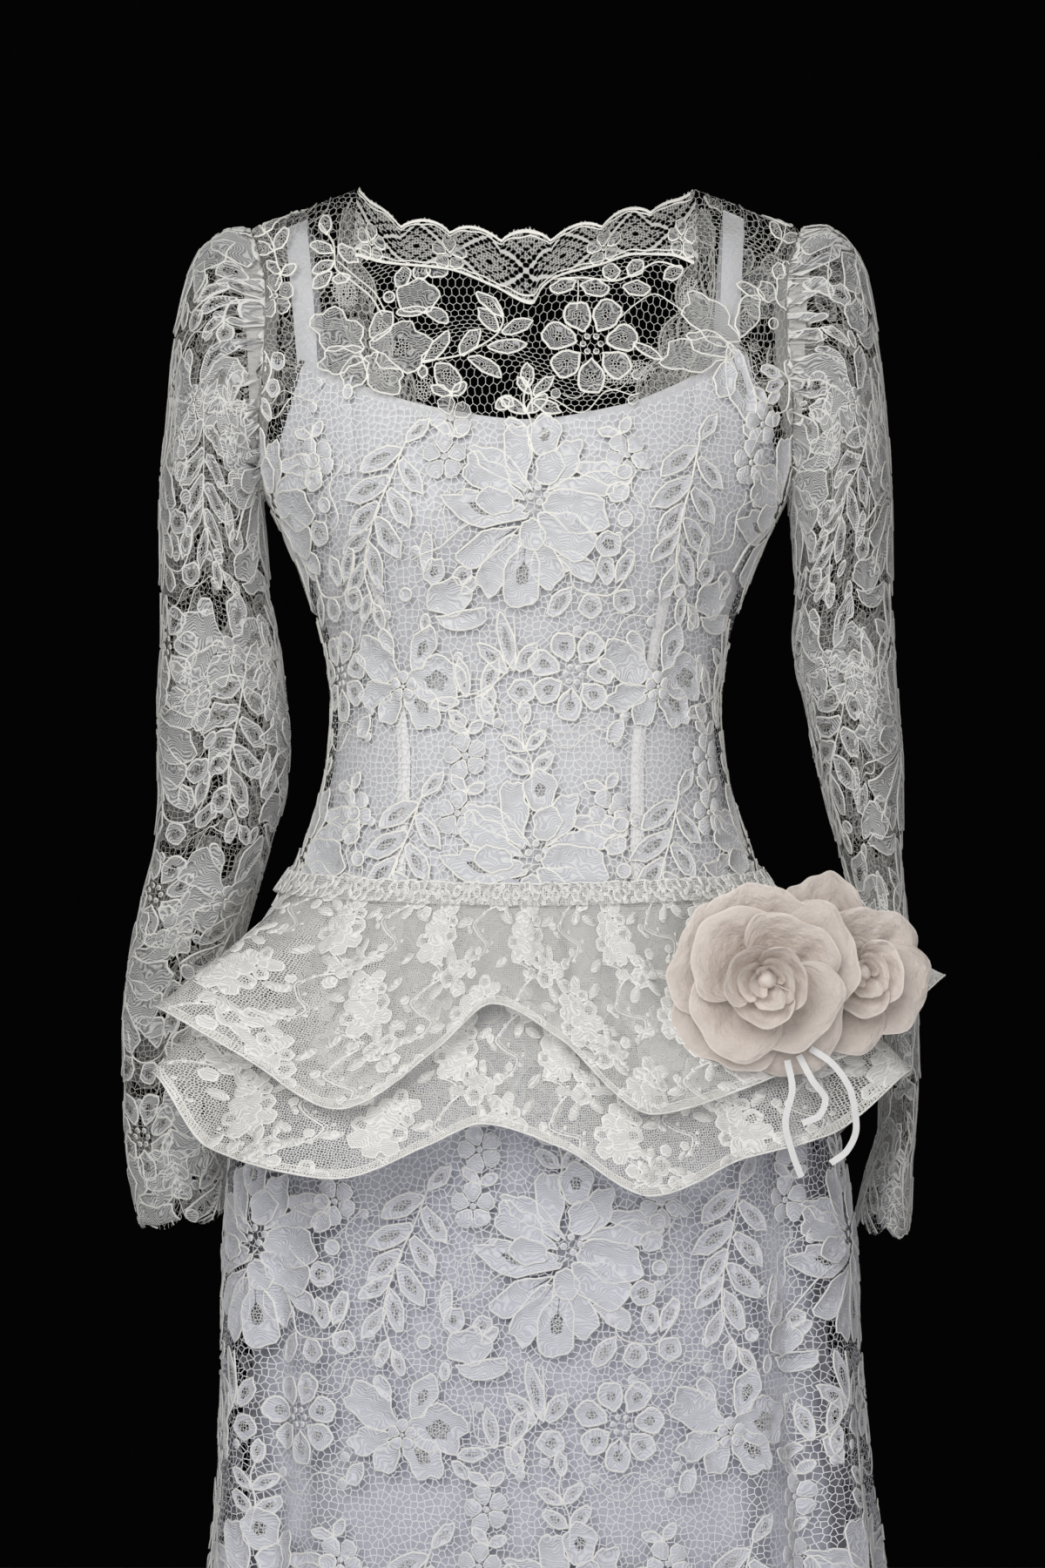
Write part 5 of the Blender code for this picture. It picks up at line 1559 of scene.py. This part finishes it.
def tier_reach(hem, standing_out, clearance, angle, fall):
    """Distance of a tier from the middle, from its seam (fall 0) to its hem (fall 1)."""
    degrees = np.degrees(angle)
    seam_z, hem_z = peplum_seam_z(angle), read(hem, "z", degrees)
    first = skirt_reach(angle, seam_z) + standing_out
    last = np.maximum(read(hem, "reach", degrees), skirt_reach(angle, hem_z) + clearance)
    free = first + (last - first) * fall**1.1
    close = skirt_reach(angle, seam_z + (hem_z - seam_z) * fall)
    close = close + standing_out + (clearance - standing_out) * fall
    uneven = 1 + 0.6 * np.sin(5 * angle + 1) * np.sin(11 * angle)
    gathers = np.sin(math.pi * fall) * (1 - fall) * np.cos(36 * angle + 0.8 * np.sin(7 * angle))
    gathers = gathers * uneven
    crumpled = np.sin(17 * angle + 5 * fall) * np.sin(7 * fall + 9 * angle) * fall
    return np.maximum(free, close) + 2.1 * gathers + 1.1 * crumpled


def depth_at(hem, x):
    """A tier's depth from its seam to its hem along the cloth, x mm round it."""
    angle = np.radians(x / AROUND)
    flare = read(hem, "reach", x / AROUND) - skirt_reach(angle, PEPLUM_SEAM_Z)
    return np.hypot(flare, peplum_seam_z(angle) - read(hem, "z", x / AROUND))


def tier(hem, stands):
    """A tier as cloth: x round it from the middle front in mm, y down it from the seam."""

    def surface(x, y):
        angle, fall = np.radians(x / AROUND), np.clip(-y / depth_at(hem, x), 0, 1)
        seam_z = peplum_seam_z(angle)
        z = seam_z + (read(hem, "z", np.degrees(angle)) - seam_z) * fall
        return outwards(angle, tier_reach(hem, *stands, angle, fall), z)

    return surface


def scalloped(mesh, x, y, size, lobes, turn=0.0, height=0.3, squash=1.0, eye=0.0):
    """A soft round of clothwork with a scalloped edge and no cord."""
    ring, face = disc(mesh, lobes * 3)
    for vertex in ring:
        phi = math.atan2(vertex.co.y, vertex.co.x)
        reach = size / 2 * (0.86 + 0.18 * abs(math.sin(lobes * phi / 2)))
        along, off = reach * math.cos(phi), reach * squash * math.sin(phi)
        vertex.co = turned_spot(x, y, along, off, math.radians(turn), height)
    face.normal_update()
    for finish, thickness, depth in ((IS_CORD, 0.9, 0.35), (IS_CLOTHWORK, size * 0.16, -0.12)):
        edge = bmesh.ops.inset_region(mesh, faces=[face], thickness=thickness, depth=depth, use_boundary=True)
        for made in edge["faces"]:
            made.material_index = finish
    face.material_index = IS_FINE_NET if eye else IS_CLOTHWORK


def lace_rose(mesh):
    """A full bloom of scalloped petals with a smaller one above it, and leaves beside them."""
    for middle_x, middle_y, size, outer, inner in ((0, -8, 17.0, 7, 3), (3, 15, 13.0, 5, 2)):
        for index in range(outer):
            way, reach = math.radians(360 / outer * index + 3 * middle_y), 0.74 * size
            scalloped(
                mesh, middle_x + reach * math.cos(way), middle_y + reach * math.sin(way),
                size + 2 * math.sin(3 * index), 5, math.degrees(way), 0.3 + 0.09 * (index % 3), 0.86,
                eye=index % 3 == 1,
            )
        for index in range(inner):
            way, reach = math.radians(360 / inner * index + 40), 0.27 * size
            x, y = middle_x + reach * math.cos(way), middle_y + reach * math.sin(way)
            scalloped(mesh, x, y, 0.66 * size, 4, math.degrees(way), 0.7)
    for x, y, turn, length, width in (
        (17, 6, 30, 17, 8),
        (-15, 8, 150, 17, 8),
        (17, -20, -40, 15, 8),
        (-18, -20, 220, 16, 8),
    ):
        blade(mesh, x, y, length, width, turn, 0.3, 0.2, cord=0.5, sides=10)


def chain(mesh):
    """One scroll of the lattice: a doubled wavy line with small rings along it."""
    line = [(13 * math.sin(t * 1.1) + 2.5 * math.sin(t * 4), t * 9 - 42) for t in np.arange(0, 10)]
    cord(mesh, line, 1.3, 0.25, 4)
    cord(mesh, [(x + 3.2, y + 1) for x, y in line], 0.7, 0.2, 4)
    for index, (x, y) in enumerate(line):
        blade(mesh, x + 4.5, y + 3, 4.6, 4.0, 20 * index, 0, cord=0.9, sides=8)
        if index % 3 == 1:
            scalloped(mesh, x - 6, y + 2, 9, 5, 0, 0.25)
            blade(mesh, x - 7, y - 2, 12, 6, 200 + 30 * index, 0.3, cord=0.5, sides=8)


def posy(mesh):
    scalloped(mesh, 0, 0, 13, 5, 0, 0.3, eye=1)
    scalloped(mesh, 10, 4, 8, 5, 0, 0.35)
    for turn in (100, 170, 300):
        way = math.radians(turn)
        blade(mesh, 4 * math.cos(way), 4 * math.sin(way), 13, 6, turn, 0.3, cord=0.5, sides=8)


for draw in (lace_rose, chain, posy):
    MOTIFS[draw.__name__] = worked(draw)
PEPLUM_LACE = (
    net_shell("peplum_fine_net", "E6E5E1", 1.5, 0.44, 0.3),
    cotton_thread("peplum_thread", "F8F7F4", 0.85),
    clothwork("peplum_clothwork", "FBFAF7", "E2E0DC", 0.06),
    net_shell("peplum_open_net", "E9E7E2", 1.5, 0.56, 0.3),
)
BRAID = net_shell("nylon_braid", "EFECE6", 1.3, 0.42)
BRAID.node_tree.nodes["Principled BSDF"].inputs["Roughness"].default_value = 0.5
for name, hem, stands, deep, first_x, first_y in (
    # each tier, its hem, how far it stands off the skirt, its depth in m, roses' first x and y
    ("upper", UPPER_HEM, UPPER_STANDS, 0.115, 0, -26),
    ("lower", LOWER_HEM, LOWER_STANDS, 0.16, -52, -96),
):
    surface = tier(hem, stands)
    for half, left, right in HALVES:
        mesh = bmesh.new()
        for vertex in lay_grid(mesh, left, right, -1, 0, 220, 32):
            vertex.co.y *= float(depth_at(hem, vertex.co.x))
        piece = drape(f"peplum_{name}_{half}", mesh, surface, PEPLUM_LACE, lift=0.5)
        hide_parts(f"peplum_{name}_{half}")
        mesh = bmesh.new()
        for row in range(3):
            for column in range(-3, 10):
                x = first_x + (column + 0.5 * (row % 2)) * ROSES_APART
                y = first_y - row * ROWS_APART
                stamp(mesh, "lace_rose", x, y, 24 * math.sin(column * 3 + row), 0.8)
                stamp(mesh, "chain", x + 37, y + 8, 14 * math.sin(column + row * 2), 0.66)
                stamp(mesh, "posy", x + 22, y - 24, 40 * column, 1.0)
                stamp(mesh, "posy", x - 23, y + 22, 70 * column, 1.1)
        trimmed(mesh, lambda x, y: (x > left) & (x < right) & (y < 0) & (y > 2 - depth_at(hem, x)))
        work = drape(f"peplum_{name}_{half}_work", mesh, surface, PEPLUM_LACE, lift=0.6)
        mesh = bmesh.new()
        for vertex in lay_grid(mesh, left, right, 0, 6, 200, 2):
            vertex.co.y -= float(depth_at(hem, vertex.co.x))
        for count, above, width, high in ((120, 0.5, 1.1, 0.5), (90, 5.6, 0.6, 0.4)):
            along = np.linspace(left, right, count)
            beside = above + 0.3 * np.sin(along / 3) - depth_at(hem, along)
            cord(mesh, list(zip(along, beside)), width, high, 2)
        braid = drape(f"peplum_{name}_edge_{half}", mesh, surface, (BRAID, PEPLUM_LACE[1]), lift=0.9)
        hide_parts(f"peplum_{name}_edge_{half}")
        wide = FULLNESS * ((right - left) / 1000)


HEADING_DEPTH = 14


def heading(x, y):
    """The heading as cloth: x round the waist in mm, y up from its seam to its frilled edge."""
    angle, v = np.radians(x / AROUND), np.clip(y / HEADING_DEPTH, 0, 1)
    ripple = np.cos(40 * angle + 1.2 * np.sin(9 * angle)) * (1 + 0.35 * np.sin(13 * angle))
    z = peplum_seam_z(angle) - 6 + v * HEADING_DEPTH + 0.8 * ripple * np.maximum(0, v - 0.4)
    reach = skirt_reach(angle, z) + 7 - 4.6 * v**0.9
    hem_z = read(UPPER_HEM, "z", np.degrees(angle))
    fall = np.clip((peplum_seam_z(angle) - z) / (peplum_seam_z(angle) - hem_z), 0, 1)
    over_tier = tier_reach(UPPER_HEM, *UPPER_STANDS, angle, fall) + 1.8
    reach = np.where(v < 0.4, np.maximum(reach, over_tier), reach)
    crush = 0.35 * np.cos(96 * angle + 4 * v) * np.sin(math.pi * v) * np.sin(7 * angle)
    return outwards(angle, reach + 0.2 * ripple + crush, z)


for half, left, right in HALVES:
    mesh = bmesh.new()
    lay_grid(mesh, left, right, 0, HEADING_DEPTH, 420, 8)
    cord(mesh, [(x, 13.4 + 0.4 * math.sin(x)) for x in np.linspace(left, right, 150)], 0.9, 0.5, 3)
    for x in np.arange(left + 4, right - 4, 9.5):
        stamp(mesh, "posy", x, 7 + 3 * math.sin(x), 50 * x, 0.62)
    trimmed(mesh, lambda x, y: (x > left) & (x < right) & (y > -0.1) & (y < 14.6))
    piece = drape(f"peplum_heading_{half}", mesh, heading, PEPLUM_LACE, lift=0.5)
    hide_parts(f"peplum_heading_{half}")


# ---------------------------------------------------------------------------------------------
# Roses. Two fabric roses on the left of the waist, each petal cut double in blush silk organza and
# gathered at its base round a wired stub that ends in a closed bud.


def rose_frame(centre, facing):
    """Where a point of a rose lies, from its place across, up and out along the way it faces."""
    out = Vector(facing).normalized()
    across = Vector((0, 0, 1)).cross(out).normalized()
    up = out.cross(across)
    return lambda a, b, w: np.array(centre) + a[..., None] * across + b[..., None] * up + w[..., None] * out


def petal(place, turn, span, inner, outer, base, ramp, cup, curl, seed):
    """A cupped round petal; its sides lie at different heights, so that neighbours overlap clear."""

    def point(u, v):
        angle, side = turn + (0.5 - u) * span, 2 * u - 1
        uneven = 0.06 * np.sin(2.6 * side + seed) + 0.03 * np.sin(7 * side + 2 * seed)
        uneven = uneven + 0.014 * np.sin(16 * side + seed)
        rounded = np.maximum(1 - np.abs(side) ** 3, 0.0) ** 0.38
        edge = inner + (outer * (1.03 + uneven) - inner) * rounded
        r = inner + (edge - inner) * v
        rolled = curl * v**7 * (1 + 0.8 * np.sin(2 * side + seed))
        w = base + ramp * (0.5 - u) + cup * v**1.5 * (edge / outer) - rolled
        w = w + 1.8 * np.sin(3.1 * side + 2 * turn) * v**3 - 0.4 * np.clip((v - 0.93) / 0.07, 0, 1)
        ripples = 0.7 * np.sin(8 * side + seed + 4 * v) + 0.4 * np.sin(15 * side + 2 * seed)
        w = w + ripples * np.sin(math.pi * v) + 0.5 * np.sin(26 * side + seed) * np.maximum(0, 0.6 - v)
        for at, wide, high in (
            # sharp folds that run out from the gathered base
            (0.5 * np.sin(2.1 * seed), 0.07, 1.5),
            (0.6 * np.sin(3.7 * seed + 1), 0.05, -1.2),
            (0.3 * np.cos(seed), 0.1, -1.3),
        ):
            fold = np.exp(-(((side - at - 0.08 * np.sin(4 * v)) / wide) ** 2))
            w = w + high * fold * np.sin(math.pi * np.minimum(v + 0.15, 1)) ** 0.7
        return place(r * np.cos(angle) - 0.08 * (w - base), r * np.sin(angle) - 0.2 * (w - base), w)

    return point


def silk_organza(name, pale, deep, solid):
    """Crisp sheer silk in two layers: fine plain weave, soft shine; painted shade darkens and warms it
    towards a petal's base.
    """
    made, tree, shader = new_finish(name, 0.55, sheen=0.6)
    place = add(tree, "UVMap", uv_map="pattern")
    cloudy = add(tree, "TexNoise", {"Vector": place.outputs[0], "Scale": 1 / 12, "Detail": 2.0})
    # A petal has its rim at y = 0. It is painted darker and warmer towards its base, as shade deep in the
    # rose; the thin band at the rim is paler, partly its folded edge and partly a painted highlight.
    parts = add(tree, "SeparateXYZ", {0: place.outputs[0]})
    shade_to_base = add(tree, "MapRange", {0: parts.outputs[1], 1: -34.0, 2: 0.0, 3: 0.0, 4: 0.75})
    rim = add(tree, "MapRange", {0: parts.outputs[1], 1: -1.6, 2: -0.5, 3: 0.0, 4: 0.4})
    paler = add(tree, "Math", {0: shade_to_base.outputs[0], 1: rim.outputs[0]}, operation="ADD")
    share = add(tree, "Math", {0: cloudy.outputs[0], 1: 0.8, 2: paler.outputs[0]}, operation="MULTIPLY_ADD")
    weave = add(tree, "TexNoise", {"Vector": place.outputs[0], "Scale": 1 / 1.1, "Detail": 1.0})
    share = add(tree, "Math", {0: weave.outputs[0], 1: 0.5, 2: share.outputs[0]}, operation="MULTIPLY_ADD")
    share = add(tree, "MapRange", {0: share.outputs[0], 1: 0.6, 2: 1.75})
    tones = {0: share.outputs[0], 6: linear(deep), 7: linear(pale)}
    mixed = add(tree, "Mix", tones, data_type="RGBA")
    tree.links.new(mixed.outputs[2], shader.inputs["Base Color"])
    shader.inputs["Alpha"].default_value = solid
    crease = add(tree, "TexNoise", {"Vector": place.outputs[0], "Scale": 1 / 7, "Detail": 3.0})
    fine = add(tree, "Bump", {"Height": weave.outputs[0], "Strength": 0.3, "Distance": 0.0003})
    soft = add(
        tree,
        "Bump",
        {"Height": crease.outputs[0], "Strength": 0.7, "Distance": 0.0035, "Normal": fine.outputs[0]},
    )
    tree.links.new(soft.outputs[0], shader.inputs["Normal"])
    return made


ORGANZA = silk_organza("blush_silk_organza", "F0E6DE", "CDBDB3", 0.84)
ROSES = (
    # rose, centre of its base, facing, stub's radius and length, rings of petals:
    # count, span in degrees, outer radius, base, ramp, cup, curl, first turn
    (
        "rose_large", (141, -94.0, -480), (0.05, -0.998, 0.0), 5.0, 53,
        ((5, 116, 58, 24, 5.5, 9, 4, 18), (4, 140, 46, 31, 6, 13, 3, 50), (3, 200, 25, 39, 8, 17, 0, 10)),
    ),
    (
        "rose_small", (197, -81.4, -480), (0.25, -0.96, 0.10), 4.4, 32,
        ((1, 70, 63, 12, 2, 5, 2, 112), (4, 140, 44, 13, 5, 10, 3, 65), (3, 190, 25, 19, 6, 14, 0, 5)),
    ),
)
BUD_PETALS = (
    # small petals wrapped round the bud: span in degrees, reach, drop below the tip, cup, turn
    (170, 3.7, 12, 17, 20),
    (150, 3.3, 11, 16, 170),
    (140, 2.9, 10, 15, 280),
    (160, 2.4, 9, 13, 60),
    (170, 1.9, 7, 11, 200),
)
for name, centre, facing, core, length, rings in ROSES:
    place = rose_frame(centre, facing)
    for ring, (count, span, outer, base, ramp, cup, curl, first) in enumerate(rings, 1):
        for index in range(count):
            turn, wide = math.radians(first + 360 * index / count), outer * math.radians(span) * 0.62
            mesh = bmesh.new()
            lay_grid(mesh, 0, wide, -outer, 0, 36, 20)
            seed = 3 * ring + index
            surface = petal(place, turn, math.radians(span), core + 0.8, outer, base, ramp, cup, curl, seed)
            node = f"{name}_petal_{ring}_{index + 1}"
            flat = patterned(surface, wide, outer)
            piece = drape(node, mesh, lambda x, y: flat(x, y + outer), [ORGANZA], lift=0.5)
            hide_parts(node)
    mesh = bmesh.new()
    bmesh.ops.create_uvsphere(mesh, u_segments=24, v_segments=14, radius=1)
    for vertex in mesh.verts:
        turn, up = math.atan2(vertex.co.y, vertex.co.x), vertex.co.z
        swirl = 1 + 0.10 * math.cos(3 * turn + 4 * up)
        vertex.co = (vertex.co.x * core * 1.2 * swirl, vertex.co.y * core * 1.2 * swirl, length - 7 + up * 7)
    stub, middle = length - 6, Matrix.Translation((0, 0, (length - 6) / 2))
    bmesh.ops.create_cone(
        mesh, cap_ends=True, segments=16, radius1=core, radius2=core, depth=stub, matrix=middle
    )
    for index, (span, outer, base, cup, first) in enumerate(BUD_PETALS):
        curl = petal(
            lambda a, b, w: np.stack([a, b, w], axis=-1), math.radians(first), math.radians(span),
            core * 0.7, core * outer, length - base, 5, cup * core / 5, 0, 11 + 2 * index,
        )
        for vertex in lay_grid(mesh, 0, 1, 0, 1, 18, 8):
            vertex.co = curl(np.array(vertex.co.x), np.array(vertex.co.y))
    data = as_data(mesh, f"{name}_bud")
    a, b, w = spots_of(data).T
    lay_pattern(data, a + b, w - length)
    data.vertices.foreach_set("co", (place(a, b, w) / 1000).ravel())
    bud = finished(f"{name}_bud", data, [ORGANZA])
    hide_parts(f"{name}_core")


# ---------------------------------------------------------------------------------------------
# Ribbons. Three free ends of narrow double-faced satin ribbon, cut straight, hang in loose curls
# from under the large rose, where they are sewn to its stub.

RIBBON_WIDTH = 4
RIBBONS = (
    ((157, -124.6, -529), (160, -125.5, -546), (156, -124, -566), (160, -121, -584), (166, -118, -600)),
    ((164, -124.4, -526), (172, -126, -541), (180, -124, -553), (176, -123, -563), (166, -124.5, -567)),
    (
        (171, -124.4, -522), (184, -126, -531), (196, -124, -550), (199, -119, -570), (194, -115, -584),
        (184, -114, -592),
    ),
)
RIBBON_SATIN = polyester_satin("ribbon_satin", "F2F1F0", "E1E0E0", 0.3, 0.6)
for index, places in enumerate(RIBBONS, 1):
    keys = np.linspace(0, 1, len(places))
    route = table("t x y z", *[(t, *spot) for t, spot in zip(keys, places)])
    runs = np.stack([read(route, name, np.linspace(0, 1, 201)) for name in "xyz"], axis=-1)
    length = float(np.linalg.norm(np.diff(runs, axis=0), axis=1).sum())

    def ribbon(x, y, route=route, length=length):
        t = np.clip(y / length, 0, 1)
        at = np.stack([read(route, name, t) for name in "xyz"], axis=-1)
        ahead, back = t + 0.01, t - 0.01
        along = np.stack([read(route, name, ahead) - read(route, name, back) for name in "xyz"], axis=-1)
        across = np.cross(along, (0.0, 1.0, 0.0))
        across /= np.linalg.norm(across, axis=-1, keepdims=True)
        return at - across * (x - RIBBON_WIDTH / 2)[..., None]

    mesh = bmesh.new()
    lay_grid(mesh, 0, RIBBON_WIDTH, 0, length, 6, 60)
    piece = drape(f"ribbon_{index}", mesh, ribbon, [RIBBON_SATIN], lift=0.5)
    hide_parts(f"ribbon_{index}")


# ---------------------------------------------------------------------------------------------
# Studio. A pale painted floor just below the hem, four soft square lamps, and a long lens that looks
# level at the hips, in a dark room.

STUDIO_FLOOR_Z = -1.43


def pale_floor():
    """Painted studio floor, matt and even."""
    made, tree, shader = new_finish("painted_floor", 0.85)
    place = add(tree, "TexCoord")
    cloudy = add(tree, "TexNoise", {"Vector": place.outputs["Object"], "Scale": 3.0, "Detail": 2.0})
    tones = {0: cloudy.outputs[0], 6: linear("D8D7D4"), 7: linear("E2E1DE")}
    mixed = add(tree, "Mix", tones, data_type="RGBA")
    tree.links.new(mixed.outputs[2], shader.inputs["Base Color"])
    return made


mesh = bmesh.new()
bmesh.ops.create_grid(mesh, x_segments=1, y_segments=1, size=3)
bmesh.ops.translate(mesh, verts=mesh.verts, vec=(0, 0, STUDIO_FLOOR_Z))
data = as_data(mesh, "studio_floor")
data.materials.append(pale_floor())
floor = bpy.data.objects.new("studio_floor", data)
bpy.context.scene.collection.objects.link(floor)

world = bpy.data.worlds.new("dark_studio")
bpy.context.scene.world = world
world.use_nodes = True
background = world.node_tree.nodes["Background"]
background.inputs["Color"].default_value = (0.0012, 0.0012, 0.0012, 1)
background.inputs["Strength"].default_value = 1.0

for name, place, size, watts, colour in (
    # softboxes, aimed at the waist: place, width in m, watts and colour
    ("key_softbox", (-0.8, -2.4, 0.9), 2.2, 62, "FFFFFD"),
    ("fill_softbox", (1.7, -2.4, 0.1), 1.6, 17, "FAF8F6"),
    ("low_softbox", (0.4, -2.6, -1.3), 1.2, 9, "E8ECFF"),
    ("back_softbox", (0.5, 2.4, 0.8), 1.6, 22, "FFFFFF"),
):
    lamp = bpy.data.lights.new(name, "AREA")
    lamp.shape, lamp.size, lamp.energy, lamp.color = "SQUARE", size, watts, linear(colour)[:3]
    box = bpy.data.objects.new(name, lamp)
    box.location = place
    box.rotation_euler = (Vector((0, 0, -0.4)) - Vector(place)).to_track_quat("-Z", "Y").to_euler()
    bpy.context.scene.collection.objects.link(box)

lens = bpy.data.cameras.new("camera")
lens.sensor_fit, lens.sensor_height, lens.sensor_width = "VERTICAL", 36, 24
lens.lens = 94.5  # mm, on a frame 36 mm high
lens.clip_start, lens.clip_end = 0.1, 50
camera = bpy.data.objects.new("camera", lens)
camera.location = (-0.0022, -2.6, -0.363)
camera.rotation_euler = (QUARTER, 0, 0)
bpy.context.scene.collection.objects.link(camera)
bpy.context.scene.camera = camera
bpy.context.scene.view_settings.view_transform = "Standard"
